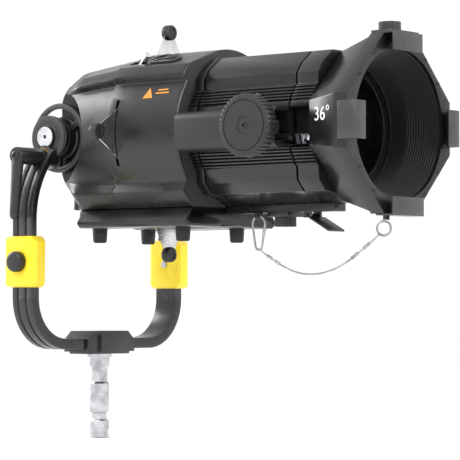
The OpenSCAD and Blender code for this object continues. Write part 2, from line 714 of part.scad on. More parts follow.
module shutter_knob_bottom() color(black) place_blade(180, upper_layer) blade_knob(low_reach);
module shutter_knob_near() color(black) place_blade(90, lower_layer) blade_knob(shutter_knob_r + 8);
module shutter_knob_far() color(black) place_blade(-90, lower_layer) blade_knob(shutter_knob_r + 8);

module gobo_lock_pin() color(bright) on_flank(pin_slot_x + pin_slot_len - 11) {
  translate([-4, -5, -12]) cube([8, 10, 11]);
  translate([0, 0, -4]) rotate([0, 48, 0]) cylinder(r = 3.2, h = 14);
  translate([0, 0, -4]) rotate([0, 48, 0]) translate([0, 0, 12]) cylinder(r = 4.6, h = 11);
}

module slot_cover() color(soft_black) on_flank(pin_slot_x + pin_slot_len + 12) difference() {
  translate([0, -11, move_gap]) union() {
    translate([6, 0, 0]) cube([36, 22, 2.5]);
    translate([0, 6, 0]) cube([48, 10, 2.5]);
    for (x = [6, 42], y = [6, 16]) translate([x, y, 0]) cylinder(r = 6, h = 2.5);
  }
  translate([6, -7, move_gap + 1.3]) cube([36, 14, 3]);
}

// ---- Lens barrel ----

function fin_row(p, q) = [for (i = [0:fins - 1]) let (a = p + (q - p) * i / fins, b = p + (q - p) * (i + 0.5) / fins)
  each [a, a + [fin_depth, 0], b + [fin_depth, 0], b]];
fin_top = [79.5, 53.5];
fin_low = [92, 32];
barrel_half = concat(
  [[0, 101.7], [45, 101.7], [69, 84], [79, 70.5], [78.5, 55.5]],
  fin_row(fin_top, fin_low), [[side_flat, 29], [side_flat, -29]],
  [for (i = [4 * fins - 1:-1:0]) let (p = fin_row(fin_top, fin_low)[i]) [p.x, -p.y]],
  [[78.5, -55.5], [77, -73.5], [62.6, -88.2], [43, -90.6], barrel_foot, [0, barrel_foot.y]]
);
module barrel_slice(x0, x1) along(x0) linear_extrude(x1 - x0) polygon(mirrored(barrel_half));
module barrel_bore() about_axis(house_front_x - 1) cylinder(r = barrel_bore_r, h = hood_x - house_front_x + 2);
rack_slot_z = axis_h + rack_z - 11;

module lens_barrel() color(black) difference() {
  barrel_slice(barrel_x, barrel_end);
  barrel_bore();
  translate([barrel_x + 30, -side_flat - 1, rack_slot_z]) cube([barrel_len, 40, 14]);
}

module barrel_collars() color(soft_black) difference() {
  union() {
    barrel_slice(house_front_x, house_front_x + collar_len);
    barrel_slice(front_collar_x, hood_x);
  }
  barrel_bore();
  translate([front_collar_x - 1, -side_flat - 1, axis_h - knob_drop - cover_h / 2])
    cube([front_collar_len - 2, 15, cover_h]);
  translate([front_collar_x - 1, -side_flat - 1, rack_slot_z]) cube([front_collar_len - 2, 40, 14]);
}

rail_bottom = barrel_foot.y - rail_t;
latch_x = knob_x - 10;
lock_nut_x = knob_x - 57;
module lens_rail() color(soft_black) difference() {
  union() {
    translate([house_front_x, -rail_half, axis_h + rail_bottom])
      cube([hood_x - house_front_x - 22, 2 * rail_half, rail_t]);
    translate([lock_nut_x - nut_plate / 2, -rail_half - 5, axis_h + rail_bottom - 6])
      cube([nut_plate, 2 * rail_half + 10, 6]);
    for (y = [-rail_half, rail_half - 4]) translate([latch_x - 6, y, axis_h + rail_bottom - 8]) cube([12, 4, 8]);
    translate([link_x - 2, link_y - 7, axis_h + rail_bottom - 8]) cube([4, 14, 8]);
  }
  y_rod(latch_x, -20, 20, axis_h + rail_bottom - 4, 2);
  translate([link_x - 3, link_y, axis_h + rail_bottom - 3.5]) rotate([0, 90, 0]) cylinder(r = 3.2, h = 6);
  translate([lock_nut_x, 0, axis_h + rail_bottom - 20]) cylinder(r = 4 + run_gap, h = 28);
}

module barrel_lock_knob() color(black) translate([lock_nut_x, 0, axis_h + rail_bottom - 6 - move_gap]) difference() {
  union() {
    mirror([0, 0, 1]) cylinder(r = lock_knob_d / 2, h = 13);
    cylinder(r = 4, h = 12);
  }
  for (a = [0:18:342]) rotate([0, 0, a]) translate([lock_knob_d / 2 + 0.6, 0, -20]) cylinder(r = 1.8, h = 19.9);
}

latch_w = 36;
module lens_latch() color(black) translate([latch_x, 0, axis_h + rail_bottom - 4]) {
  y_rod(0, -rail_half - 2, rail_half + 2, 0, 2 - run_gap);
  difference() {
    rotate([0, 29, 0]) union() {
      translate([-2, -rail_half + 4.3, -1.3]) cube([14, 2 * rail_half - 8.6, 2.6]);
      translate([8, -latch_w / 2, -1.3]) cube([38, latch_w, 2.6]);
    }
    translate([-12, -30, 3.6]) cube([80, 60, 10]);
  }
}

// ---- Focus drive ----

knob_z = axis_h - knob_drop;

// A bar along the beam with rounded outer edges, from the middle plane outwards
module rounded_bar(half, y0, y1, r) {
  translate([y0, -half]) square([y1 - y0 - r, 2 * half]);
  translate([y0, -half + r]) square([y1 - y0, 2 * half - 2 * r]);
  for (z = [-half + r, half - r]) translate([y1 - r, z]) circle(r = r);
}

module focus_cover() color(black) difference() {
  translate([house_front_x + 2, 0, knob_z]) rotate([90, 0, 90]) mirror([1, 0])
    linear_extrude(barrel_end - house_front_x - 2) rounded_bar(cover_h / 2, side_flat, cover_y, 12);
  translate([barrel_x + 20, -cover_y + 4, knob_z - cover_h / 2 + 5])
    cube([barrel_len, cover_y - 4, cover_h - 10]);
  y_rod(knob_x, -cover_y - 1, -cover_y + 5, knob_z, shaft_r + run_gap);
  along(house_front_x) linear_extrude(barrel_len + 30) polygon(mirrored(barrel_half));
}

knob_front = cover_y + 37;
knob_back = knob_front - knob_t;
module focus_knob() color(black) difference() {
  union() {
    y_rod(knob_x, -knob_back - knob_t + 5, -knob_back, knob_z, knob_d / 2);
    y_rod(knob_x, -knob_front + 2, -knob_back - 2, knob_z, knob_d / 2 - 1.2);
    y_rod(knob_x, -knob_front, -knob_back - 2, knob_z, knob_d / 2 - 7);
    y_rod(knob_x, -knob_back - eps, -cover_y - move_gap, knob_z, knob_d / 4);
  }
  y_rod(knob_x, -knob_front + 6, -cover_y + 1, knob_z, shaft_r);
  y_rod(knob_x, -knob_front - 1, -knob_front + 3, knob_z, 2.5);
  for (i = [0:knob_notches - 1]) let (a = 360 * i / knob_notches) y_rod(
    knob_x + (knob_d / 2 + 0.8) * cos(a), -knob_front + 4.9, -knob_back + 1,
    knob_z + (knob_d / 2 + 0.8) * sin(a), 2.2
  );
}

// One flank of an involute tooth, from the base circle outwards
function involute(base, t) = base * [cos(t) + t * PI / 180 * sin(t), sin(t) - t * PI / 180 * cos(t)];
function turned(p, a) = [p.x * cos(a) - p.y * sin(a), p.x * sin(a) + p.y * cos(a)];
base_r = pinion_r * cos(20);
tip_r = pinion_r + gear_m;
root_r = pinion_r - 1.2 * gear_m;
function roll(r) = 180 / PI * sqrt(r * r / (base_r * base_r) - 1);
pitch_angle = roll(pinion_r) - atan2(roll(pinion_r) * PI / 180, 1);
tooth_half = 90 / pinion_teeth - 0.9;
function flank(sign) = [for (i = [0:5]) let (
  r = base_r + (tip_r - base_r) * i / 5, p = involute(base_r, roll(r))
) turned([p.x, sign * p.y], -sign * (pitch_angle + tooth_half))];
module pinion_tooth() polygon(concat(
  [[root_r - 1, -1.2]], [for (i = [0:5]) let (p = flank(1)[i]) p],
  [for (i = [5:-1:0]) flank(-1)[i]], [[root_r - 1, 1.2]]
));

module focus_shaft() color(steel) {
  y_rod(knob_x, -knob_front + 6, -gear_y - gear_t + eps, knob_z, shaft_r);
  y_rod(knob_x, -gear_y - eps, -side_flat - move_gap, knob_z, shaft_r);
  translate([knob_x, -gear_y, knob_z]) rotate([90, 0, 0]) linear_extrude(gear_t) {
    circle(r = root_r);
    for (i = [0:pinion_teeth - 1]) rotate(-90 + 360 * (i + 0.5) / pinion_teeth) pinion_tooth();
  }
}

rack_pitch = PI * gear_m;
module rack_teeth() for (i = [-floor(rack_half / rack_pitch):floor(rack_half / rack_pitch)])
  translate([i * rack_pitch, 0]) polygon([
    [-rack_pitch / 4 + 0.2 - 0.68, -1.2 * gear_m - 0.1], [-rack_pitch / 4 + 0.2 + 0.52, gear_m - 0.15],
    [rack_pitch / 4 - 0.2 - 0.52, gear_m - 0.15], [rack_pitch / 4 - 0.2 + 0.68, -1.2 * gear_m - 0.1]
  ]);
module focus_rack() color(steel) difference() {
  union() {
    translate([knob_x, -gear_y, axis_h + rack_z]) rotate([90, 0, 0]) linear_extrude(gear_t) {
      rack_teeth();
      translate([-rack_half, -7]) square([2 * rack_half, 7 - 1.2 * gear_m]);
    }
    translate([knob_x - 22, -gear_y - 1, axis_h + rack_z - 8]) cube([22, 45, 6]);
  }
  about_axis() cylinder(r = carriage_r, h = 600);
}

carriage_r = barrel_bore_r - slide_gap;
carriage_wall = 5;
module lens_carriage() color(soft_black) about_axis(carriage_x) rotate_extrude() polygon([
  [carriage_r - carriage_wall, 5], [carriage_r - carriage_wall - 3, 5],
  [carriage_r - carriage_wall - 3, 0], [carriage_r, 0], [carriage_r, carriage_len],
  [carriage_r - carriage_wall - 3, carriage_len], [carriage_r - carriage_wall - 3, carriage_len - 5],
  [carriage_r - carriage_wall, carriage_len - 5]
]);

module objective_lenses() color(lens_blue, 0.5) {
  about_axis(carriage_x + 5) dome_lens(carriage_r - carriage_wall, 4, 110);
  about_axis(carriage_x + carriage_len - 5) mirror([0, 0, 1]) dome_lens(carriage_r - carriage_wall, 4, 110);
}

// ---- Hood and accessory holder ----

rim_x = hood_front_x - rim_t;
hood_wall = 4;
oct_ratio = oct_side / oct_half;
// An octagonal frustum along the beam, as four pairs of sloping faces
module sloping_pair(turn, x0, d0, x1, d1) translate([0, 0, axis_h]) rotate([turn, 0, 0]) rotate([90, 0, 0])
  translate([0, 0, -300]) linear_extrude(600) polygon([[x0, -d0], [x1, -d1], [x1, d1], [x0, d0]]);
module oct_frustum(x0, half0, x1, half1) intersection_for(turn = [0:45:135]) {
  k = turn % 90 == 0 ? 1 : (1 + oct_ratio) / sqrt(2);
  sloping_pair(turn, x0, k * half0, x1, k * half1);
}
module hood() color(black) difference() {
  oct_frustum(hood_x, oct_rear, rim_x, oct_half - 2.4);
  oct_frustum(hood_x + hood_wall, oct_rear - hood_wall, rim_x + 1, oct_half - 2.4 - hood_wall);
  about_axis(hood_x - 1) cylinder(r = throat_r, h = 10);
}

baffle_front = hood_front_x - 4;
baffle_depth = 42;
module front_rim() color(black) difference() {
  union() {
    along(rim_x) linear_extrude(rim_t) polygon(octagon(oct_half, oct_side));
    translate([rim_x + 14, link_y - 13, axis_h - oct_half - 8]) cube([4, 10, 9]);
  }
  about_axis(rim_x - 1) cylinder(r = mouth_r + 4, h = rim_t - 3);
  about_axis(rim_x) cylinder(r = mouth_r, h = rim_t + 1);
  translate([rim_x + 13, link_y - 8, axis_h - oct_half - 4.5]) rotate([0, 90, 0]) cylinder(r = 2.4, h = 8);
  translate([rim_x + 6, 0, axis_h + mouth_r]) cylinder(r = 4 + run_gap, h = 40);
}

module rim_screws() color(steel) about_axis(hood_front_x) for (a = [11.25:22.5:348.75])
  rotate([0, 0, a]) translate([mouth_r + 6.5, 0, 0]) difference() {
    cylinder(r = 2.4, h = 1);
    translate([0, 0, 0.4]) cylinder(r = 1.1, h = 1, $fn = 6);
  }

module hood_baffle() color(soft_black) about_axis() rotate_extrude() {
  for (i = [0:baffle_steps - 1]) let (
    x1 = baffle_front - baffle_depth * i / baffle_steps, x0 = baffle_front - baffle_depth * (i + 1) / baffle_steps,
    r = mouth_r - (mouth_r - throat_r) * (i + 0.5) / baffle_steps
  ) polygon([[r, x0 - 0.6], [r + 3, x0 - 0.6], [r + 3, x1], [r, x1]]);
  translate([throat_r, hood_x + hood_wall]) square([2.4, baffle_front - baffle_depth - hood_x - hood_wall + 1]);
}

lip_x = hood_front_x + slot_gap;
clip_t = 2.5;
clip_reach = 22.6;
module side_clip(width) {
  translate([rim_x + 8, oct_half, -width / 2]) cube([lip_x + clip_t - rim_x - 8, clip_t, width]);
  translate([lip_x, oct_half - clip_reach, -width / 2]) cube([clip_t, clip_reach + eps, width]);
}
module accessory_clips() color(soft_black) translate([0, 0, axis_h]) difference() {
  union() {
    both_sides() side_clip(clip_w);
    rotate([-90, 0, 0]) side_clip(72);
    rotate([90, 0, 0]) {
      side_clip(68);
      translate([rim_x - 2, oct_half, -32]) cube([lip_x - rim_x, 5, 64]);
    }
  }
  translate([rim_x + 6, 0, 0]) cylinder(r = 4 + run_gap, h = 200);
  translate([rim_x + 12, link_y - 15, -oct_half - 10]) cube([8, 14, 12]);
}

module clip_springs() color(steel) translate([hood_front_x, 0, axis_h])
  for (a = [0, 180]) rotate([a, 0, 0])
    translate([1, -7, oct_half - 14]) cube([1.2, 14, 14]);

module lock_screw() color(black) translate([rim_x + 6, 0, axis_h + oct_half + 5 + move_gap]) difference() {
  union() {
    cylinder(r = lock_knob_d / 2, h = 13);
    mirror([0, 0, 1]) cylinder(r = 4, h = 14);
  }
  for (a = [0:15:345]) rotate([0, 0, a]) translate([lock_knob_d / 2 + 0.6, 0, 1]) cylinder(r = 1.5, h = 14);
}

// ---- Safety cable ----

link_wire = 1.6;
link_r = 11;
link_small_r = 6;
link_top = rail_bottom - 4 - link_r;
module link_outline(grow) hull() {
  circle(r = link_r + grow, $fn = 32);
  translate([0, -30]) circle(r = link_small_r + grow, $fn = 32);
}
module carabiner() color(steel) translate([link_x, link_y + link_wire, axis_h + link_top])
  rotate([90, 0, 0]) linear_extrude(2 * link_wire) difference() {
    link_outline(link_wire);
    link_outline(-link_wire);
  }

module safety_cable() color(steel) {
  last = len(cable_route) - 1;
  sides = 8;
  rings = [for (k = [0:last]) let (
    d = cable_route[min(k + 1, last)] - cable_route[max(k - 1, 0)],
    t = d / norm(d), side = cross(t, [0, 0, 1]) / norm(cross(t, [0, 0, 1])), up = cross(side, t)
  ) [for (i = [0:sides - 1]) let (a = 360 * i / sides)
    cable_route[k] + cable_d / 2 * (cos(a) * side + sin(a) * up) + [0, 0, axis_h]]];
  points = [for (ring = rings, p = ring) p];
  skins = [for (k = [0:last - 1], i = [0:sides - 1]) let (j = (i + 1) % sides)
    each [[k * sides + i, (k + 1) * sides + i, k * sides + j], [k * sides + j, (k + 1) * sides + i, (k + 1) * sides + j]]];
  polyhedron(points, concat(
    skins, [[for (i = [0:sides - 1]) i]], [[for (i = [sides - 1:-1:0]) last * sides + i]]
  ));
}

module cable_sleeve(k) let (a = cable_route[k], b = cable_route[k + 1], d = b - a)
  rod(a + d * 0.25, a + d * 0.75, cable_d / 2 + 1.3);
module cable_fittings() color(bright) translate([0, 0, axis_h]) {
  for (k = [2, 3, 9, 10]) cable_sleeve(k);
  translate(cable_route[len(cable_route) - 1] + [7.5, 0, 8]) rotate([90, 0, 20])
    rotate_extrude() translate([9.5, 0]) circle(r = 1.6);
}

spigot();
spigot_bolt();
yoke_base_block();
lower_yoke();
clamp_near();
clamp_far();
clamp_bolts();
clamp_knob_near();
clamp_knob_far();
upper_arm_near();
upper_arm_far();
arm_tongues();
axle_bolts();
axle_caps();
brake_washer();
tilt_lever();
lever_screw();
tilt_rings();
rear_shell();
gate_housing();
base_tray();
front_bulkhead();
feet();
lamp_mount_ring();
lamp_lock();
condenser_cell();
condenser_lenses();
shutter_guide();
gate_plate();
shutter_top();
shutter_bottom();
shutter_near();
shutter_far();
shutter_knob_top();
shutter_knob_bottom();
shutter_knob_near();
shutter_knob_far();
gobo_lock_pin();
slot_cover();
lens_barrel();
barrel_collars();
lens_rail();
focus_cover();
focus_knob();
focus_shaft();
lens_carriage();
focus_rack();
objective_lenses();
barrel_lock_knob();
lens_latch();
hood();
front_rim();
rim_screws();
hood_baffle();
accessory_clips();
clip_springs();
lock_screw();
carabiner();
safety_cable();
cable_fittings();
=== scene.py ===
"""The looks of a framing spotlight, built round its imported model.

Every length is in millimetres in the part's own frame (+X along the beam, -Y the side with the
brake lever and the focus knob, +Z up) and becomes metres where a mesh is made.
"""

import json
import logging
import math
from collections.abc import Callable, Sequence
from dataclasses import dataclass, field
from enum import Enum

import bmesh
import bpy
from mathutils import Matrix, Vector
from mathutils.geometry import tessellate_polygon


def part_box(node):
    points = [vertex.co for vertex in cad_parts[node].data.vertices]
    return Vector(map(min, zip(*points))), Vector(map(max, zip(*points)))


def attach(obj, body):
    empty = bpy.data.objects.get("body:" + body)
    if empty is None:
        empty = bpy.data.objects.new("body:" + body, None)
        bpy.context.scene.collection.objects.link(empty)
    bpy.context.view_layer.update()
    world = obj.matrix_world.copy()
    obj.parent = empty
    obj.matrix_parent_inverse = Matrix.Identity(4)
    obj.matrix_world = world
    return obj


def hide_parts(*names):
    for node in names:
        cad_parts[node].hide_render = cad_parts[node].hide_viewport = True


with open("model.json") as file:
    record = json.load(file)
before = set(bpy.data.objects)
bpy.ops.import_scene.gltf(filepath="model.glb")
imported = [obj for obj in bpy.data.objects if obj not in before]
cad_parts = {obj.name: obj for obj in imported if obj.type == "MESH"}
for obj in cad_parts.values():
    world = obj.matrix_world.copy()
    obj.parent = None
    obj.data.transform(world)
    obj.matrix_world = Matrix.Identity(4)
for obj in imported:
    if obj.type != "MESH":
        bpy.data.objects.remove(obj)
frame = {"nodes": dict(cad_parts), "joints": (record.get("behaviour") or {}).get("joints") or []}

LOG = logging.getLogger("spotlight")
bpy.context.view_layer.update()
MM = 0.001
NODES: dict[str, bpy.types.Object] = frame["nodes"]
AXIS_Z = next(j for j in frame["joints"] if j["name"] == "head_tilt")["pos_m"][2] / MM

Point = tuple[float, float]
Place = tuple[float, float, float]
Placer = Callable[[float, float, float], Place]


class Axis(Enum):
    """The axis that a turned piece is revolved about."""

    BEAM = "x"
    ACROSS = "y"
    UPRIGHT = "z"


class Side(Enum):
    """The two sides of the middle plane."""

    NEAR = -1
    FAR = 1


# ---------------------------------------------------------------- finishes


def linear_colour(hex_colour: str, alpha: float = 1.0) -> tuple[float, float, float, float]:
    """Turn an sRGB hex colour into linear values.

    Args:
        hex_colour: the colour, such as "#1c1c1e".
        alpha: its opacity.

    Returns:
        Linear red, green, blue and alpha.
    """
    values = [int(hex_colour[i:i + 2], 16) / 255 for i in (1, 3, 5)]
    red, green, blue = (v / 12.92 if v <= 0.04045 else ((v + 0.055) / 1.055) ** 2.4 for v in values)
    return red, green, blue, alpha


def add_node(tree: bpy.types.NodeTree, kind: str, inputs: dict | None = None, **settings) -> bpy.types.Node:
    """Add one shader node with its settings, values and links.

    Args:
        tree: the node tree.
        kind: the node's type name.
        inputs: values or output sockets for its inputs, by the input's name or number.
        **settings: attributes of the node.

    Returns:
        The node.
    """
    node = tree.nodes.new(kind)
    for key, value in settings.items():
        setattr(node, key, value)
    for key, value in (inputs or {}).items():
        if isinstance(value, bpy.types.NodeSocket):
            tree.links.new(value, node.inputs[key])
        else:
            node.inputs[key].default_value = value
    return node


def set_ramp(node: bpy.types.Node, stops: Sequence[tuple[float, tuple]]) -> bpy.types.Node:
    """Set the stops of a colour ramp.

    Args:
        node: the ramp node.
        stops: places from 0 to 1 with their colours.

    Returns:
        The same node.
    """
    ramp = node.color_ramp
    while len(ramp.elements) < len(stops):
        ramp.elements.new(0.5)
    for element, (place, colour) in zip(ramp.elements, stops):
        element.position = place
        element.color = colour
    return node


def grey(value: float) -> tuple[float, float, float, float]:
    """A linear grey."""
    return value, value, value, 1.0


def new_tree(name: str) -> tuple[bpy.types.Material, bpy.types.NodeTree, bpy.types.Node,
                                 bpy.types.NodeSocket]:
    """Start a material.

    Args:
        name: the material's name.

    Returns:
        The material, its tree, its shader and the object coordinates' socket.
    """
    material = bpy.data.materials.new(name)
    material.use_nodes = True
    tree = material.node_tree
    shader = tree.nodes["Principled BSDF"]
    place = add_node(tree, "ShaderNodeTexCoord").outputs["Object"]
    return material, tree, shader, place


@dataclass(frozen=True)
class PaintedFinish:
    """Powder coat, paint or moulded plastic: a pigmented skin with a fine orange-peel texture.

    The eye gets a soft broad highlight that breaks up in the grain, a slightly uneven tone,
    and sharp edges painted a little lighter: partly rubbed wear, partly a painted highlight.
    """

    name: str
    colour: str
    wear_and_highlight_colour: str
    roughness: float
    grain_mm: float
    grain_depth_mm: float = 0.02
    wear_and_highlight: float = 0.35
    coat: float = 0.0
    specular: float = 0.5

    def build(self) -> bpy.types.Material:
        """Make the material.

        Returns:
            The finished Blender material.
        """
        material, tree, shader, place = new_tree(self.name)
        mottle = add_node(tree, "ShaderNodeTexNoise", {"Vector": place, "Scale": 1 / (38 * MM),
                                                       "Detail": 5.0})
        tone = set_ramp(
            add_node(tree, "ShaderNodeValToRGB", {"Fac": mottle.outputs["Fac"]}),
            [(0.3, linear_colour(self.colour)),
             (0.75, tuple(1.22 * c for c in linear_colour(self.colour)[:3]) + (1.0,))],
        )
        # Sharp convex edges are painted a lighter colour: partly rubbed wear, partly a painted highlight
        # where edges catch the light
        edges = add_node(tree, "ShaderNodeNewGeometry").outputs["Pointiness"]
        edge_wear_and_highlight_mask = set_ramp(add_node(tree, "ShaderNodeValToRGB", {"Fac": edges}),
                             [(0.52, grey(0)), (0.6, grey(1))])
        wear_and_highlight_mix = add_node(
            tree, "ShaderNodeMath", {0: edge_wear_and_highlight_mask.outputs["Color"], 1: self.wear_and_highlight}, operation="MULTIPLY"
        )
        colour = add_node(
            tree, "ShaderNodeMixRGB",
            {"Fac": wear_and_highlight_mix.outputs[0], "Color1": tone.outputs["Color"],
             "Color2": linear_colour(self.wear_and_highlight_colour)},
        )
        patches = add_node(
            tree, "ShaderNodeMapRange",
            {"Value": mottle.outputs["Fac"], "From Min": 0.3, "From Max": 0.7,
             "To Min": self.roughness - 0.05, "To Max": self.roughness + 0.06},
        )
        peel = add_node(tree, "ShaderNodeTexNoise", {"Vector": place, "Scale": 1 / (self.grain_mm * MM),
                                                     "Detail": 3.0})
        bump = add_node(
            tree, "ShaderNodeBump",
            {"Height": peel.outputs["Fac"], "Strength": 0.6, "Distance": self.grain_depth_mm * MM},
        )
        tree.links.new(colour.outputs["Color"], shader.inputs["Base Color"])
        tree.links.new(patches.outputs["Result"], shader.inputs["Roughness"])
        tree.links.new(bump.outputs["Normal"], shader.inputs["Normal"])
        shader.inputs["IOR"].default_value = 1.5
        shader.inputs["Specular IOR Level"].default_value = self.specular
        shader.inputs["Coat Weight"].default_value = self.coat
        shader.inputs["Coat Roughness"].default_value = 0.15
        return material


@dataclass(frozen=True)
class MetalFinish:
    """Bare or plated metal, with the fine parallel marks that turning, drawing or brushing leaves.

    The eye gets a bright reflection drawn out across the marks. The marks run round the given
    axis, so they are bands along it.
    """

    name: str
    colour: str
    dull_colour: str
    roughness: float
    mark_mm: float
    axis: Axis = Axis.UPRIGHT
    mark_depth_mm: float = 0.015

    def build(self) -> bpy.types.Material:
        """Make the material.

        Returns:
            The finished Blender material.
        """
        material, tree, shader, place = new_tree(self.name)
        stretch = [0.04, 0.04, 0.04]
        stretch["xyz".index(self.axis.value)] = 1.0
        lines = add_node(tree, "ShaderNodeMapping", {"Vector": place, "Scale": stretch})
        marks = add_node(
            tree, "ShaderNodeTexNoise",
            {"Vector": lines.outputs["Vector"], "Scale": 1 / (self.mark_mm * MM), "Detail": 4.0},
        )
        clouds = add_node(tree, "ShaderNodeTexNoise", {"Vector": place, "Scale": 1 / (16 * MM),
                                                       "Detail": 4.0})
        tone = set_ramp(
            add_node(tree, "ShaderNodeValToRGB", {"Fac": clouds.outputs["Fac"]}),
            [(0.35, linear_colour(self.dull_colour)), (0.6, linear_colour(self.colour))],
        )
        sheen = add_node(
            tree, "ShaderNodeMapRange",
            {"Value": marks.outputs["Fac"], "From Min": 0.3, "From Max": 0.7,
             "To Min": max(0.05, self.roughness - 0.07), "To Max": self.roughness + 0.09},
        )
        bump = add_node(
            tree, "ShaderNodeBump",
            {"Height": marks.outputs["Fac"], "Strength": 0.5, "Distance": self.mark_depth_mm * MM},
        )
        tree.links.new(tone.outputs["Color"], shader.inputs["Base Color"])
        tree.links.new(sheen.outputs["Result"], shader.inputs["Roughness"])
        tree.links.new(bump.outputs["Normal"], shader.inputs["Normal"])
        shader.inputs["Metallic"].default_value = 1.0
        return material


@dataclass(frozen=True)
class GlassFinish:
    """Optical crown glass with an anti-reflection coating.

    The eye sees into it, with a faint blue-violet reflection and a trace of dust.
    """

    name: str
    colour: str
    roughness: float = 0.02

    def build(self) -> bpy.types.Material:
        """Make the material.

        Returns:
            The finished Blender material.
        """
        material, tree, shader, place = new_tree(self.name)
        dust = add_node(tree, "ShaderNodeTexNoise", {"Vector": place, "Scale": 1 / (9 * MM), "Detail": 6.0})
        film = add_node(
            tree, "ShaderNodeMapRange",
            {"Value": dust.outputs["Fac"], "From Min": 0.5, "From Max": 0.8,
             "To Min": self.roughness, "To Max": self.roughness + 0.08},
        )
        tree.links.new(film.outputs["Result"], shader.inputs["Roughness"])
        shader.inputs["Base Color"].default_value = linear_colour(self.colour)
        shader.inputs["Transmission Weight"].default_value = 1.0
        shader.inputs["IOR"].default_value = 1.52
        shader.inputs["Coat Weight"].default_value = 0.2
        shader.inputs["Coat Tint"].default_value = linear_colour("#e2dcea")
        return material


@dataclass(frozen=True)
class PrintFinish:
    """Screen-printed ink: flat, opaque and a little rough where the powder coat shows through."""

    name: str
    colour: str

    def build(self) -> bpy.types.Material:
        """Make the material.

        Returns:
            The finished Blender material.
        """
        material, tree, shader, place = new_tree(self.name)
        grain = add_node(tree, "ShaderNodeTexNoise", {"Vector": place, "Scale": 1 / (0.8 * MM),
                                                      "Detail": 2.0})
        tone = set_ramp(
            add_node(tree, "ShaderNodeValToRGB", {"Fac": grain.outputs["Fac"]}),
            [(0.3, tuple(0.82 * c for c in linear_colour(self.colour)[:3]) + (1.0,)),
             (0.6, linear_colour(self.colour))],
        )
        tree.links.new(tone.outputs["Color"], shader.inputs["Base Color"])
        shader.inputs["Roughness"].default_value = 0.55
        return material


@dataclass
class Finishes:
    """Every material of the spotlight, made once."""

    # Each painted finish's second colour goes on its sharp edges, partly as rubbed wear and partly as a
    # painted highlight; strongest on the strap, the grey hub and rings, and the matt baffle
    # Powder coat on die-cast aluminium: near-black, with a fine peel and broad grey highlights
    housing: PaintedFinish = PaintedFinish("powder_coated_casting", "#0d0d0e", "#2e2e30", 0.3, 0.9, 0.02)
    # Powder coat on extrusion is laid thinner, so the flats of the barrel shine more
    extrusion: PaintedFinish = PaintedFinish("powder_coated_extrusion", "#0c0c0d", "#303033", 0.24, 0.8,
                                             0.012)
    # Satin stove enamel on the tray, the collars and the rail: darker and smoother
    satin: PaintedFinish = PaintedFinish("satin_enamel", "#0e0e0f", "#2c2c2e", 0.32, 1.1, 0.015)
    # Anodised aluminium strap: a clear grey down its length, painted on its edges and grooves, partly as wear
    # and partly as a painted sheen
    strap: PaintedFinish = PaintedFinish("anodised_strap", "#131315", "#58585d", 0.26, 0.7, 0.01, 0.5)
    # Yellow powder coat on the clamp castings: strong, even and slightly glossy
    yellow: PaintedFinish = PaintedFinish("yellow_powder_coat", "#e6c800", "#f2dc50", 0.38, 1.0, 0.02, 0.3)
    # Glass-filled nylon: matt black mouldings with a spark-eroded texture
    nylon: PaintedFinish = PaintedFinish("glass_filled_nylon", "#111112", "#2a2a2c", 0.42, 0.6, 0.03)
    # Matt stove black inside the hood and the lamp mount: keeps stray light down
    matt: PaintedFinish = PaintedFinish("matt_stove_black", "#0c0c0d", "#38383b", 0.6, 0.8, 0.03, 0.6)
    # Grey die casting of the friction hub and the tilt ring
    hub: PaintedFinish = PaintedFinish("grey_die_casting", "#303033", "#77777c", 0.38, 0.8, 0.02, 0.6)
    # Nitrile rubber feet
    rubber: PaintedFinish = PaintedFinish("nitrile_rubber", "#0c0c0d", "#2c2c2e", 0.62, 0.7, 0.03, 0.2)
    # Zinc-plated steel turned on a lathe: fine rings round the spigot
    turned: MetalFinish = MetalFinish("turned_plated_steel", "#c6c7ca", "#9c9da1", 0.24, 0.9, Axis.UPRIGHT)
    # Machined aluminium faces, seen as bright discs
    machined: MetalFinish = MetalFinish("machined_aluminium", "#e6e7ea", "#d2d3d6", 0.3, 0.8, Axis.ACROSS)
    # Rolled stainless sheet: nearly a mirror
    stainless: MetalFinish = MetalFinish("rolled_stainless", "#e3e4e6", "#c9cacc", 0.16, 1.4, Axis.UPRIGHT,
                                         0.004)
    # Galvanised wire and ferrules
    wire: MetalFinish = MetalFinish("galvanised_wire", "#b4b6ba", "#85878b", 0.34, 0.7, Axis.BEAM, 0.01)
    # Brass washer, browned by handling
    brass: MetalFinish = MetalFinish("aged_brass", "#b4903f", "#7c6128", 0.36, 0.8, Axis.ACROSS)
    # Coated glass
    glass: GlassFinish = GlassFinish("coated_crown_glass", "#e6e8ea")
    # Screen print
    white_ink: PrintFinish = PrintFinish("white_screen_print", "#e9e9ea")
    amber_ink: PrintFinish = PrintFinish("amber_screen_print", "#d98a1c")
    made: dict[str, bpy.types.Material] = field(default_factory=dict)

    def get(self, finish: str) -> bpy.types.Material:
        """Give a finish's material, made the first time it is asked for.

        Args:
            finish: the name of one of the fields above.

        Returns:
            The material.
        """
        if finish not in self.made:
            self.made[finish] = getattr(self, finish).build()
        return self.made[finish]


FINISHES = Finishes()

# ---------------------------------------------------------------- making meshes


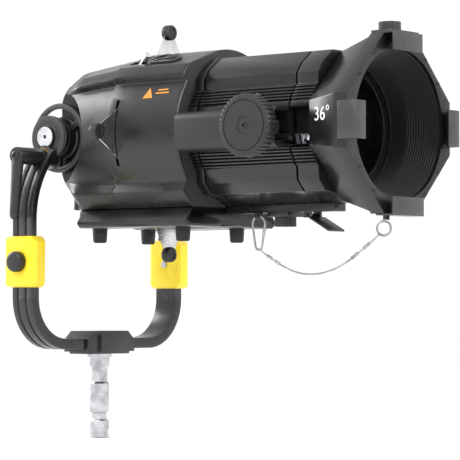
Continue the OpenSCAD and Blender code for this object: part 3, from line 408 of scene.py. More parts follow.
def rounded(outline: Sequence[Point], radius: float, steps: int = 4) -> list[Point]:
    """Round every corner of a closed outline.

    Args:
        outline: its corners.
        radius: the corner radius, less where an edge is short.
        steps: points on each corner, less one.

    Returns:
        The new outline.
    """
    result = []
    count = len(outline)
    for i, corner in enumerate(outline):
        here = Vector(corner)
        back = Vector(outline[i - 1]) - here
        ahead = Vector(outline[(i + 1) % count]) - here
        half_turn = (math.pi - back.angle(ahead)) / 2
        if half_turn < math.radians(4):
            result.append(corner)
            continue
        cut = min(radius * math.tan(half_turn), 0.45 * back.length, 0.45 * ahead.length)
        start = here + back.normalized() * cut
        end = here + ahead.normalized() * cut
        for k in range(steps + 1):
            t = k / steps
            result.append(tuple((1 - t) ** 2 * start + 2 * t * (1 - t) * here + t * t * end))
    return result


def arc(centre: Point, radius: float, first: float, last: float, steps: int) -> list[Point]:
    """Points on an arc, from one angle in degrees to another."""
    angles = (math.radians(first + (last - first) * i / steps) for i in range(steps + 1))
    return [(centre[0] + radius * math.cos(a), centre[1] + radius * math.sin(a)) for a in angles]


class Maker:
    """Gathers the faces of one piece, in millimetres, and turns them into an object."""

    def __init__(self, name: str) -> None:
        """Start an empty piece of that name."""
        self.name = name
        self.mesh = bmesh.new()

    def rings(self, rings: Sequence[Sequence[Place]], capped: bool = True, looped: bool = False) -> "Maker":
        """Join closed rings of points, one after the other.

        Args:
            rings: rings with the same number of points.
            capped: whether the first and last rings are filled.
            looped: whether the last ring joins the first.

        Returns:
            This maker.
        """
        made = [[self.mesh.verts.new(Vector(p) * MM) for p in ring] for ring in rings]
        pairs = list(zip(made, made[1:] + ([made[0]] if looped else [])))
        for low, high in pairs:
            for i in range(len(low)):
                j = (i + 1) % len(low)
                self.mesh.faces.new((low[i], low[j], high[j], high[i]))
        if capped and not looped:
            self.mesh.faces.new(made[0][::-1])
            self.mesh.faces.new(made[-1])
        return self

    def turned(self, profile: Sequence[Point], axis: Axis, centre: Place = (0, 0, 0), steps: int = 64,
               radius_at: Callable[[float, float, float], float] | None = None) -> "Maker":
        """Revolve a closed profile about an axis.

        Args:
            profile: (radius, place along the axis), in order round the section.
            axis: the axis.
            centre: a point that the axis passes through, the zero of the places along it.
            steps: faces round the axis.
            radius_at: changes the radius, from the radius, the place along and the angle.

        Returns:
            This maker.
        """
        order = "xyz".index(axis.value)
        rows = []
        for radius, along in profile:
            row = []
            for i in range(steps):
                angle = math.tau * i / steps
                r = radius_at(radius, along, angle) if radius_at else radius
                local = (along, r * math.cos(angle), r * math.sin(angle))
                place = local[-order:] + local[:-order] if order else local
                row.append(tuple(c + o for c, o in zip(place, centre)))
            rows.append(row)
        on_axis = profile[0][0] < 1e-6 and profile[-1][0] < 1e-6
        self.rings(rows, capped=False, looped=not on_axis)
        return self

    def prism(self, outline: Sequence[Point], low: float, high: float, place: Placer,
              holes: Sequence[Sequence[Point]] = ()) -> "Maker":
        """Extrude an outline, which may have holes.

        Args:
            outline: the outer corners.
            low: where it starts.
            high: where it ends.
            place: gives the place of (u, v, height).
            holes: outlines of the holes.

        Returns:
            This maker.
        """
        loops = [list(outline), *[list(h) for h in holes]]
        flat = [p for loop in loops for p in loop]
        levels = [[self.mesh.verts.new(Vector(place(u, v, h)) * MM) for u, v in flat] for h in (low, high)]
        start = 0
        for loop in loops:
            for i in range(len(loop)):
                a, b = start + i, start + (i + 1) % len(loop)
                self.mesh.faces.new((levels[0][a], levels[0][b], levels[1][b], levels[1][a]))
            start += len(loop)
        if holes:
            triangles = tessellate_polygon([[Vector((u, v, 0)) for u, v in loop] for loop in loops])
            for a, b, c in triangles:
                self.mesh.faces.new((levels[0][c], levels[0][b], levels[0][a]))
                self.mesh.faces.new((levels[1][a], levels[1][b], levels[1][c]))
        else:
            self.mesh.faces.new(levels[0][::-1])
            self.mesh.faces.new(levels[1])
        return self

    def block(self, low: Place, high: Place) -> "Maker":
        """A box between two corners, as a part of a bigger piece."""
        outline = [(low[0], low[1]), (high[0], low[1]), (high[0], high[1]), (low[0], high[1])]
        return self.prism(outline, low[2], high[2], lambda u, v, h: (u, v, h))

    def tube(self, path: Sequence[Place], radius: float, sides: int = 12, looped: bool = False,
             radius_at: Callable[[int, float], float] | None = None) -> "Maker":
        """Sweep a round section along a path.

        Args:
            path: the points of its middle line.
            radius: its radius.
            sides: points round it.
            looped: whether the path closes.
            radius_at: changes the radius, from the ring's number and the angle.

        Returns:
            This maker.
        """
        points = [Vector(p) for p in path]
        count = len(points)
        up = Vector((0, 0, 1))
        rows = []
        for i, here in enumerate(points):
            ahead = points[(i + 1) % count] if looped or i + 1 < count else here
            back = points[i - 1] if looped or i else here
            along = (ahead - back).normalized()
            side = along.cross(up)
            side = along.cross(Vector((0, 1, 0))) if side.length < 0.05 else side
            side.normalize()
            up = side.cross(along).normalized()
            row = []
            for k in range(sides):
                angle = math.tau * k / sides
                r = radius_at(i, angle) if radius_at else radius
                row.append(tuple(here + r * (math.cos(angle) * side + math.sin(angle) * up)))
            rows.append(row)
        return self.rings(rows, capped=True, looped=looped)

    def copy_of(self, node: str) -> "Maker":
        """Start from a CAD node's own solid, with its flat faces made whole.

        Args:
            node: The CAD node whose mesh is copied.

        Returns:
            This maker, so that calls can be chained.
        """
        self.mesh.from_mesh(NODES[node].data)
        bmesh.ops.remove_doubles(self.mesh, verts=self.mesh.verts, dist=1e-6)
        bmesh.ops.dissolve_limit(
            self.mesh, angle_limit=math.radians(0.4), verts=self.mesh.verts, edges=self.mesh.edges
        )
        return self

    def done(self, finish: str, body: str, slot: str, replaces: Sequence[str] = (), edge: float = 0.0,
             segments: int = 2, sharp: float = 30.0, carve: Sequence["Maker"] = (),
             within: "Maker | None" = None) -> bpy.types.Object:
        """Turn the faces into a dressed object that rides on its body.

        Args:
            finish: the finish's name.
            body: the CAD body that it rides on.
            slot: the record's material slot; not used.
            replaces: CAD nodes that it stands for.
            edge: radius of its broken edges, 0 to leave them.
            segments: faces across each broken edge.
            sharp: edges that turn more than this many degrees are broken and shade as edges.
            carve: pieces whose space is cut out of it.
            within: a piece whose space it is kept inside.

        Returns:
            The object.
        """
        bmesh.ops.remove_doubles(self.mesh, verts=self.mesh.verts, dist=1e-7)
        bmesh.ops.recalc_face_normals(self.mesh, faces=self.mesh.faces)
        data = bpy.data.meshes.new(self.name)
        self.mesh.to_mesh(data)
        self.mesh.free()
        piece = bpy.data.objects.new(self.name, data)
        bpy.context.scene.collection.objects.link(piece)
        for cutter in carve:
            cut_out(piece, cutter)
        if within:
            cut_out(piece, within, "INTERSECT")
        if edge:
            break_edges(piece.data, edge, segments, sharp)
        piece.data.shade_smooth()
        piece.data.set_sharp_from_angle(angle=math.radians(sharp))
        piece.data.materials.clear()
        piece.data.materials.append(FINISHES.get(finish))
        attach(piece, body)
        if replaces:
            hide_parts(*replaces)
        LOG.info("%s: %d faces", self.name, len(piece.data.polygons))
        return piece


def cut_out(piece: bpy.types.Object, cutter: Maker, operation: str = "DIFFERENCE") -> None:
    """Cut a maker's space out of an object, and drop the maker.

    Args:
        piece: the object, whose mesh is changed.
        cutter: what is cut out.
        operation: the boolean's kind, for one that keeps the shared space instead.
    """
    bmesh.ops.remove_doubles(cutter.mesh, verts=cutter.mesh.verts, dist=1e-7)
    bmesh.ops.recalc_face_normals(cutter.mesh, faces=cutter.mesh.faces)
    data = bpy.data.meshes.new("cutter")
    cutter.mesh.to_mesh(data)
    cutter.mesh.free()
    tool = bpy.data.objects.new("cutter", data)
    bpy.context.scene.collection.objects.link(tool)
    modifier = piece.modifiers.new("cut", "BOOLEAN")
    modifier.operation = operation
    modifier.solver = "MANIFOLD"
    modifier.object = tool
    result = bpy.data.meshes.new_from_object(piece.evaluated_get(bpy.context.evaluated_depsgraph_get()))
    piece.modifiers.clear()
    piece.data = result
    bpy.data.objects.remove(tool)


def break_edges(data: bpy.types.Mesh, radius: float, segments: int, sharp: float) -> None:
    """Round the sharp edges of a mesh.

    Args:
        data: the mesh.
        radius: the radius.
        segments: faces across each edge.
        sharp: edges that turn more than this many degrees are rounded.
    """
    mesh = bmesh.new()
    mesh.from_mesh(data)
    limit = math.radians(sharp)
    edges = [e for e in mesh.edges if len(e.link_faces) == 2 and e.calc_face_angle(0) > limit]
    bmesh.ops.bevel(
        mesh, geom=edges, offset=radius * MM, segments=segments, profile=0.5, affect="EDGES",
        clamp_overlap=True
    )
    mesh.to_mesh(data)
    mesh.free()


def softened(node: str, finish: str, body: str, slot: str, edge: float, **rest) -> bpy.types.Object:
    """A copy of a CAD node with its edges broken, which stands for it."""
    return Maker(node + "_piece").copy_of(node).done(finish, body, slot, [node], edge, **rest)


def dress(node: str, finish: str) -> None:
    """Give a CAD node that stays a finish."""
    data = NODES[node].data
    data.materials.clear()
    data.materials.append(FINISHES.get(finish))
    data.shade_smooth()
    data.set_sharp_from_angle(angle=math.radians(30))


def side_placer(u: float, v: float, h: float) -> Place:
    """A side view: u along the beam, v up from the axis, h to the far side."""
    return u, h, AXIS_Z + v


def knurl(outer: float, count: int, depth: float) -> Callable[[float, float, float], float]:
    """A radius that dips in round notches where it is near the outer one.

    Args:
        outer: the knob's radius.
        count: the number of notches.
        depth: their depth.

    Returns:
        The function that a turned piece takes.
    """
    def radius(r: float, _along: float, angle: float) -> float:
        """The notched radius at one angle."""
        dip = max(0.0, math.cos(angle * count)) ** 0.7
        return r - depth * dip if r > outer - 0.9 else r
    return radius


def disc_profile(radius: float, low: float, high: float, edge: float, hole: float = 0.0) -> list[Point]:
    """The section of a disc with rounded rims, with or without a hole."""
    corner = [(radius - edge, low), (radius - edge * 0.3, low + edge * 0.3), (radius, low + edge),
              (radius, high - edge), (radius - edge * 0.3, high - edge * 0.3), (radius - edge, high)]
    return [(hole, low), *corner, (hole, high)]


# ---------------------------------------------------------------- studio


@dataclass
class Studio:
    """The camera, the soft lights and the pale surround."""

    camera_m: Place = (2.40374, -2.6830, 0.07404)
    camera_turn_deg: Place = (91.778, 0.0, 38.823)
    lens_mm: float = 192.35
    surround_radius: float = 9000.0
    surround_height: float = 5200.0
    floor_z: float = -118.0

    def build(self) -> None:
        """Make the camera, the surround and the lights."""
        data = bpy.data.cameras.new("camera")
        data.lens = self.lens_mm
        data.sensor_width = 36
        data.clip_end = 100
        camera = bpy.data.objects.new("camera", data)
        camera.location = self.camera_m
        camera.rotation_euler = [math.radians(a) for a in self.camera_turn_deg]
        bpy.context.scene.collection.objects.link(camera)
        bpy.context.scene.camera = camera
        bpy.context.scene.view_settings.view_transform = "Standard"
        self.build_surround()
        self.build_lights()

    def build_surround(self) -> None:
        """A pale floor that curves up all round, like a seamless paper backdrop."""
        profile = [(r * self.surround_radius, self.floor_z) for r in (0.0, 0.02, 0.1, 0.25, 0.4, 0.55)]
        profile += [(self.surround_radius * 0.55 + r, self.floor_z + 3000 + z) for r, z in arc((0, 0),
                                                                                               3000, -84,
                                                                                               -6, 10)]
        profile += [(self.surround_radius, self.surround_height)]
        mesh = bmesh.new()
        rows = []
        for radius, z in profile[1:]:
            angles = [math.tau * i / 96 for i in range(96)]
            rows.append([mesh.verts.new(Vector((radius * math.cos(a), radius * math.sin(a),
                                                z)) * MM) for a in angles])
        mesh.faces.new(rows[0])
        for low, high in zip(rows, rows[1:]):
            for i in range(96):
                mesh.faces.new((low[i], low[(i + 1) % 96], high[(i + 1) % 96], high[i]))
        bmesh.ops.recalc_face_normals(mesh, faces=mesh.faces)
        data = bpy.data.meshes.new("surround")
        mesh.to_mesh(data)
        mesh.free()
        data.shade_smooth()
        surround = bpy.data.objects.new("surround", data)
        bpy.context.scene.collection.objects.link(surround)
        material, tree, shader, place = new_tree("seamless_paper")
        fibre = add_node(tree, "ShaderNodeTexNoise", {"Vector": place, "Scale": 1 / (700 * MM),
                                                      "Detail": 2.0})
        tone = set_ramp(
            add_node(tree, "ShaderNodeValToRGB", {"Fac": fibre.outputs["Fac"]}),
            [(0.0, linear_colour("#f6f6f6")), (1.0, linear_colour("#fbfbfb"))],
        )
        tree.links.new(tone.outputs["Color"], shader.inputs["Base Color"])
        shader.inputs["Roughness"].default_value = 0.9
        shader.inputs["Specular IOR Level"].default_value = 0.0
        data.materials.append(material)

    def build_lights(self) -> None:
        """A pale sky and three broad lamps: over the near side, at the rear and from the front."""
        world = bpy.data.worlds.new("sky")
        world.use_nodes = True
        background = world.node_tree.nodes["Background"]
        background.inputs["Color"].default_value = linear_colour("#ffffff")
        background.inputs["Strength"].default_value = 1.0
        bpy.context.scene.world = world
        lamps = [
            ("key", (0.4, -3.2, 2.6), (2.4, 1.6), 85.0),
            ("rear", (-2.6, -0.6, 1.4), (1.2, 1.6), 60.0),
            ("front", (3.4, 0.6, 1.6), (1.0, 1.4), 55.0),
        ]
        for name, place, (width, height), watts in lamps:
            data = bpy.data.lights.new(name, "AREA")
            data.shape = "RECTANGLE"
            data.size, data.size_y = width, height
            data.energy = watts
            lamp = bpy.data.objects.new(name, data)
            lamp.location = place
            aim = Vector((0.2, 0, 0.25)) - Vector(place)
            lamp.rotation_euler = aim.to_track_quat("-Z", "Y").to_euler()
            bpy.context.scene.collection.objects.link(lamp)


# ---------------------------------------------------------------- safety cable


@dataclass
class SafetyCable:
    """The stranded wire, its ferrules, the spring ring and the snap hook."""

    diameter: float = 2.4
    strands: int = 6
    lay_length: float = 17.0
    hook_x: float = 308.0
    hook_y: float = -15.0
    hook_top: float = -128.0
    ring_radius: float = 9.5
    route: tuple[Place, ...] = (
        (309, -15, -163), (313, -15, -166), (320, -15, -170.5), (335, -16, -178.5),
        (348, -16, -185.5), (368, -17, -193.5), (391, -18, -198), (416, -19, -197.5),
        (442, -20, -191.5), (466, -22, -181), (488, -23, -167.5), (506, -24, -155.5),
        (515, -25, -149.5), (519, -25.5, -147),
    )

    def line(self) -> list[Vector]:
        """The middle line as a smooth curve through the route's points, in millimetres."""
        points = [Vector((x, y, z + AXIS_Z)) for x, y, z in self.route]
        padded = [2 * points[0] - points[1], *points, 2 * points[-1] - points[-2]]
        steps = 14
        result = []
        for a, b, c, d in zip(padded, padded[1:], padded[2:], padded[3:]):
            for k in range(steps):
                t = k / steps
                result.append(0.5 * (2 * b + (c - a) * t + (2 * a - 5 * b + 4 * c - d) * t * t
                                     + (3 * b - a - 3 * c + d) * t ** 3))
        return [*result, points[-1]]

    def build(self) -> None:
        """Make the wire and what is on it."""
        line = self.line()
        lengths = [0.0]
        for a, b in zip(line, line[1:]):
            lengths.append(lengths[-1] + (b - a).length)
        radius = self.diameter / 2

        def strand(i: int, angle: float) -> float:
            """The rope's outline: one bulge for each strand, turning along its lay."""
            turn = angle + math.tau * lengths[i] / self.lay_length
            return radius * (0.8 + 0.2 * abs(math.cos(self.strands * turn / 2)))

        wire = Maker("stranded_wire").tube([tuple(p) for p in line], radius, 24, radius_at=strand)
        cable = wire.done("wire", "head", "cable_wire", ["safety_cable"])
        fittings = self.build_fittings(line)

    def build_fittings(self, line: list[Vector]) -> list[bpy.types.Object]:
        """The ferrules, the ring and the hook.

        Args:
            line: the wire's middle line; not used.

        Returns:
            The pieces.
        """
        ferrules = Maker("crimped_ferrules")
        points = [Vector((x, y, z + AXIS_Z)) for x, y, z in self.route]
        for k in (2, 3, 9, 10):
            a, b = points[k], points[k + 1]
            inside = [a + (b - a) * t for t in (0.25, 0.27, 0.34, 0.36, 0.5, 0.64, 0.66, 0.73, 0.75)]
            sizes = (2.0, 2.5, 2.5, 2.1, 2.2, 2.1, 2.5, 2.5, 2.0)
            ferrules.tube([tuple(p) for p in inside], 2.5, 16, radius_at=lambda i, _a: sizes[i])
        end = points[-1]
        centre = end + Vector((7.5, 0, 8))
        turn = math.radians(20)
        ring = [
            centre + self.ring_radius * Vector((math.cos(a) * math.cos(turn), math.cos(a) * math.sin(turn),
                                                math.sin(a)))
            for a in (math.tau * i / 48 for i in range(48))
        ]
        ferrules.tube([tuple(p) for p in ring], 1.6, 12, looped=True)
        ferrules.tube([tuple(ring[14] + Vector((0, 0, d))) for d in (-1.4, 0, 2.6)], 1.1, 10)
        hook = Maker("snap_hook")
        outline = arc((0, 0), 11, -12, 192, 18) + arc((0, -30), 6, 188, 352, 12)
        top = AXIS_Z + self.hook_top
        hook.tube([(self.hook_x + u, self.hook_y, top + v) for u, v in outline], 1.6, 12, looped=True)
        sleeve = [(self.hook_x + 10.2 - 0.17 * d, self.hook_y, top - 5 - d) for d in (0, 1, 11, 12)]
        hook.tube(sleeve, 2.3, 14, radius_at=lambda i, _a: (1.7, 2.3, 2.3, 1.7)[i])
        return [
            ferrules.done("wire", "head", "cable_wire", ["cable_fittings"]),
            hook.done("wire", "head", "spigot_steel", ["carabiner"]),
        ]


# ---------------------------------------------------------------- spigot and yoke


@dataclass
class Yoke:
    """The spigot, the U strap, the sliding upper arms and their clamps."""

    spigot_r: float = 14.3
    neck_r: float = 11.75
    collar_r: float = 18.0
    spigot_len: float = 118.0
    half: float = 164.0
    width: float = 38.0
    lower_t: float = 15.5
    upper_t: float = 10.5
    strap_z: float = 12.3
    bend_r: float = 73.5
    lower_top: float = 130.9
    upper_bottom: float = 142.9
    arm_bend_r: float = 132.0
    arm_bend_z: float = 195.8
    arm_bend_end: float = 50.0
    groove_x: float = 7.6
    hub_r: float = 31.0
    hub_y: float = 113.0
    hub_inner_y: float = 104.5
    lever_drop: float = 29.0
    seat_y: float = 119.5

    def section(self, thickness: float) -> list[Point]:
        """The strap's section: across the strap, and down from its outer face, with two grooves."""
        half, deep, near, far = self.width / 2, 1.6, self.groove_x - 2, self.groove_x + 2
        right = [(near, 0), (near, deep), (far, deep), (far, 0), (half, 0), (half, thickness)]
        left = [(-x, d) for x, d in right[::-1]]
        return rounded(right + left, 1.5, 3)

    def sweep(self, maker: Maker, thickness: float, stations: Sequence[tuple[float, ...]]) -> Maker:
        """Sweep the strap's section.

        Args:
            maker: the piece.
            thickness: the strap's thickness.
            stations: (y, z, outward y, outward z) along the outer face.

        Returns:
            The same maker.
        """
        section = self.section(thickness)
        return maker.rings([[(x, y - d * ny, z - d * nz) for x, d in section] for y, z, ny, nz in stations])

    def build(self) -> None:
        """Make every piece of the yoke."""
        self.build_spigot()
        self.build_lower()
        for side in Side:
            self.build_arm(side)
        softened("yoke_base_block", "satin", "stand_frame", "yoke_paint", 1.6, segments=3)
        for name, side in (("near", Side.NEAR), ("far", Side.FAR)):
            softened(f"clamp_{name}", "yellow", "stand_frame", "clamp_casting", 1.8, segments=3, sharp=20.0)
            self.build_clamp_knob(name, side)
        for node, finish in (("spigot_bolt", "nylon"), ("clamp_bolts", "turned"), ("arm_tongues", "satin"),
                             ("axle_bolts", "turned")):
            dress(node, finish)

    def build_spigot(self) -> None:
        """Turn the spigot: shoulder, neck, groove and tip, with fine lathe chamfers."""
        r, n = self.spigot_r, self.neck_r
        profile = [
            (0, 8.3), (self.collar_r - 1.5, 8.3), (self.collar_r, 6.8), (self.collar_r, 1.2),
            (self.collar_r - 0.5, 0.4),
            (self.collar_r - 1.2, 0), (r + 0.2, 0), (r, -0.4), (r, -12.4), (r - 0.5, -13.2), (n + 0.3, -14.9),
            (n, -15.4),
            (n, -35.6), (n + 0.3, -36.1), (r - 0.5, -37.8), (r, -38.6), (r, -79.5), (r - 0.4, -80.3),
            (r - 2.7, -81.6),
            (r - 3, -82.1), (r - 3, -90.2), (r - 2.7, -90.7), (r - 0.4, -92), (r, -92.8), (r, -116),
            (r - 0.6, -117), (r - 2, -self.spigot_len), (0, -self.spigot_len),
        ]
        Maker("turned_spigot").turned(profile, Axis.UPRIGHT, steps=96).done(
            "turned", "stand_frame", "spigot_steel", ["spigot"], sharp=24.0
        )

    def build_lower(self) -> None:
        """Bend the lower strap into its U."""
        cy, cz = self.half - self.bend_r, self.strap_z + self.bend_r
        right = [(self.half, self.lower_top, 1.0, 0.0)]
        for y, z in arc((0, 0), 1, 0, -90, 24):
            right.append((cy + self.bend_r * y, cz + self.bend_r * z, y, z))
        left = [(-y, z, -ny, nz) for y, z, ny, nz in right[::-1]]
        self.sweep(Maker("bent_lower_strap"), self.lower_t, right + left).done(
            "strap", "stand_frame", "yoke_paint", ["lower_yoke"]
        )

    def build_arm(self, side: Side) -> None:
        """Make an upper arm: the strap, its hub disc with radial teeth, and the lever's boss.

        Args:
            side: which arm.
        """
        centre_y = self.half - self.upper_t / 2 - self.arm_bend_r
        outer_r = self.arm_bend_r + self.upper_t / 2
        stations = [(self.half, self.upper_bottom, 1.0, 0.0)]
        for y, z in arc((0, 0), 1, 0, self.arm_bend_end, 20):
            stations.append((centre_y + outer_r * y, self.arm_bend_z + outer_r * z, y, z))
        stations = [(side.value * y, z, side.value * ny, nz) for y, z, ny, nz in stations]
        arm = self.sweep(Maker(f"upper_arm_{side.name.lower()}_strap"), self.upper_t, stations)
        arm.turned(disc_profile(16, side.value * self.hub_inner_y, side.value * self.seat_y,
                                side.value * 1.0),
                   Axis.ACROSS, (0, 0, AXIS_Z - self.lever_drop))
        node = f"upper_arm_{side.name.lower()}"
        arm.done("strap", "upper_yoke", "yoke_paint", [node])
        self.build_hub(side)

    def build_hub(self, side: Side) -> None:
        """The disc on the axle, whose face is cut with fine radial teeth.

        Args:
            side: which disc.
        """
        teeth = 72
        steps = teeth * 4

        def radius(r: float, _along: float, _angle: float) -> float:
            """The disc is plain round its rim."""
            return r

        hub = Maker(f"toothed_hub_{side.name.lower()}")
        face = side.value * self.hub_y
        back = side.value * self.hub_inner_y
        profile = [(8.1, back), (self.hub_r - 1, back), (self.hub_r, back + side.value),
                   (self.hub_r, face - side.value * 1.6),
                   (self.hub_r - 0.8, face - side.value * 0.8), (19.0, face - side.value * 0.8), (17.5, face),
                   (8.1, face)]
        hub.turned(profile, Axis.ACROSS, (0, 0, AXIS_Z), steps, radius)
        hub.mesh.verts.ensure_lookup_table()
        for row in (4, 5):
            for i in range(steps):
                if i % 4 in (1, 2):
                    hub.mesh.verts[row * steps + i].co.y += side.value * 0.7 * MM
        hub.done("hub", "upper_yoke", "yoke_paint", sharp=20.0)
        cap = Maker(f"axle_cap_{side.name.lower()}_rim")
        cap.turned(disc_profile(16, face, side.value * 118.0, side.value * 0.6, 8.0), Axis.ACROSS,
                   (0, 0, AXIS_Z), 72)
        cap.done("nylon", "upper_yoke", "spigot_steel", ["axle_caps"] if side is Side.NEAR else [])
        disc = Maker(f"axle_cap_{side.name.lower()}_face")
        disc.turned([(3.0, side.value * 115.6), (14.6, side.value * 115.6), (14.6, side.value * 118.3),
                     (14.3, side.value * 118.6), (3.6, side.value * 118.6), (3.0, side.value * 118.2)],
                    Axis.ACROSS, (0, 0, AXIS_Z), 72)
        disc.done("machined", "upper_yoke", "spigot_steel")

    def build_clamp_knob(self, name: str, side: Side) -> None:
        """The round knob on a clamp's draw-bolt.

        Args:
            name: the side's name in the model.
            side: the side.
        """
        low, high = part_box(f"clamp_knob_{name}")
        inner, outer = (low.y, high.y) if side is Side.FAR else (high.y, low.y)
        inner, outer = inner / MM, outer / MM
        step = side.value
        centre = (0, 0, (low.z + high.z) / 2 / MM)
        profile = [(5.06, inner), (13.4, inner), (14.5, inner + step), (14.5, outer - 4 * step),
                   (13.9, outer - 2.2 * step),
                   (12.2, outer - 0.7 * step), (9.5, outer), (0.01, outer), (0.01, outer - 1.7 * step),
                   (5.06, outer - 1.9 * step)]
        Maker(f"clamp_knob_{name}_moulding").turned(profile, Axis.ACROSS, centre, 72).done(
            "nylon", f"clamp_knob_{name}", "moulded_black", [f"clamp_knob_{name}"]
        )


# ---------------------------------------------------------------- tilt pivot


@dataclass
class TiltPivot:
    """The open tilt rings with their friction drums, and the brake lever."""

    drum_r: float = 28.0
    ring_r: float = 50.0
    rim: float = 8.0
    recess_y: float = 78.0
    ring_y: float = 83.0
    ring_t: float = 8.0
    drum_end: float = 104.2
    lever_z: float = AXIS_Z - 29.0
    lever_y: float = 123.3
    handle_y: float = 167.0
    lever_len: float = 88.0

    def build(self) -> None:
        """Make the rings, the washer and the lever."""
        for side in Side:
            self.build_ring(side)
        washer = [(5.3, -119.5), (12.4, -119.5), (13, -120.1), (13, -122.4), (12.4, -123.0), (5.3, -123.0)]
        Maker("worn_brass_washer").turned(washer, Axis.ACROSS, (0, 0, self.lever_z), 64).done(
            "brass", "upper_yoke", "washer_brass", ["brake_washer"]
        )
        self.build_lever()

    def build_ring(self, side: Side) -> None:
        """A rounded ring on three spokes round a ribbed drum.

        Args:
            side: which ring.
        """
        s = side.value
        middle = s * (self.ring_y + self.ring_t / 2)
        ring_mid = self.ring_r - self.rim / 2
        section = rounded([(-self.rim / 2, -4), (self.rim / 2, -4), (self.rim / 2, 4), (-self.rim / 2, 4)],
                          3.2, 5)
        ring = Maker(f"tilt_ring_{side.name.lower()}")
        ring.turned([(ring_mid + u, middle + v) for u, v in section], Axis.ACROSS, (0, 0, AXIS_Z), 96)
        ring.done("hub", "head", "friction_grey", ["tilt_rings"] if side is Side.NEAR else [])
        drum = Maker(f"friction_drum_{side.name.lower()}")
        profile = [(8.1, s * self.recess_y)]
        profile += [(self.drum_r + 3, s * self.recess_y), (self.drum_r + 3, s * (self.recess_y + 3)),
                    (self.drum_r, s * (self.recess_y + 4.5)), (self.drum_r, s * (self.drum_end - 9)),
                    (self.drum_r - 0.8, s * (self.drum_end - 8.4)),
                    (self.drum_r - 0.8, s * (self.drum_end - 7)),
                    (self.drum_r, s * (self.drum_end - 6.4)), (self.drum_r, s * (self.drum_end - 1)),
                    (self.drum_r - 1, s * self.drum_end), (8.1, s * self.drum_end)]
        drum.turned(profile, Axis.ACROSS, (0, 0, AXIS_Z), 96)
        for angle in (60, 180, 300):
            a = math.radians(angle)
            along, square = (math.sin(a), math.cos(a)), (math.cos(a), -math.sin(a))
            plan = [(self.drum_r - 3, -5.5), (ring_mid, -4), (ring_mid, 4), (self.drum_r - 3, 5.5)]
            outline = [(u * along[0] + v * square[0], u * along[1] + v * square[1]) for u, v in plan]
            drum.prism(outline, s * (self.ring_y + 1.2), s * (self.ring_y + 6.5), side_placer)
        drum.done("nylon", "head", "friction_grey", edge=0.7)

    def build_lever(self) -> None:
        """The clamping lever: a turned hub, a tapered grip that leans outwards, and its screw."""
        hub = Maker("brake_lever_hub")
        h = -self.handle_y
        profile = [(0.01, -self.lever_y), (11.2, -self.lever_y), (12, -self.lever_y - 0.8), (12, -131),
                   (11.3, -131.8),
                   (11.3, -133), (12, -133.8), (12, h - 9), (11.2, h - 11), (0.01, h - 11)]
        hub.turned(profile, Axis.ACROSS, (0, 0, self.lever_z), 64)
        hub.turned([(0.01, -103.0), (4.9, -103.0), (4.9, -self.lever_y - 1), (0.01, -self.lever_y - 1)],
                   Axis.ACROSS, (0, 0, self.lever_z), 32)
        hub.done("nylon", "tilt_lever", "moulded_black", ["tilt_lever"], sharp=24)
        grip = Maker("brake_lever_grip")
        rows = []
        stations = [(-11.0, 3.0, 2.0), (-10.4, 6.5, 3.6), (-8, 9.4, 5.0), (0, 11.4, 5.6), (12, 10.2, 5.6),
                    (30, 8.8, 5.5),
                    (60, 7.6, 5.2), (80, 6.9, 4.8), (86, 6.2, 4.2), (89.5, 4.2, 2.8), (90.6, 1.6, 1.2)]
        for drop, half_wide, half_deep in stations:
            out = h - 5.6 - 8.6 * max(0.0, drop) / self.lever_len
            row = []
            for k in range(32):
                a = math.tau * k / 32
                wide, deep = math.cos(a), math.sin(a)
                flute = 0.82 if abs(wide) < 0.35 and 6 < drop < 80 and deep > 0 else 1.0
                row.append((half_wide * math.copysign(abs(wide) ** 0.8, wide),
                            out + half_deep * flute * math.copysign(abs(deep) ** 0.8, deep),
                            self.lever_z - drop))
            rows.append(row)
        grip.rings(rows)
        grip.done("nylon", "tilt_lever", "moulded_black", sharp=40)
        screw = Maker("lever_pan_screw")
        top = h - 11
        screw.turned([(0.01, top), (6.3, top), (6.5, top - 0.4), (6.0, top - 1.7), (4.6, top - 2.4),
                      (3.4, top - 2.5),
                      (2.9, top - 1.2), (0.01, top - 1.2)], Axis.ACROSS, (0, 0, self.lever_z), 48)
        screw.done("satin", "tilt_lever", "spigot_steel", ["lever_screw"])


# ---------------------------------------------------------------- housing


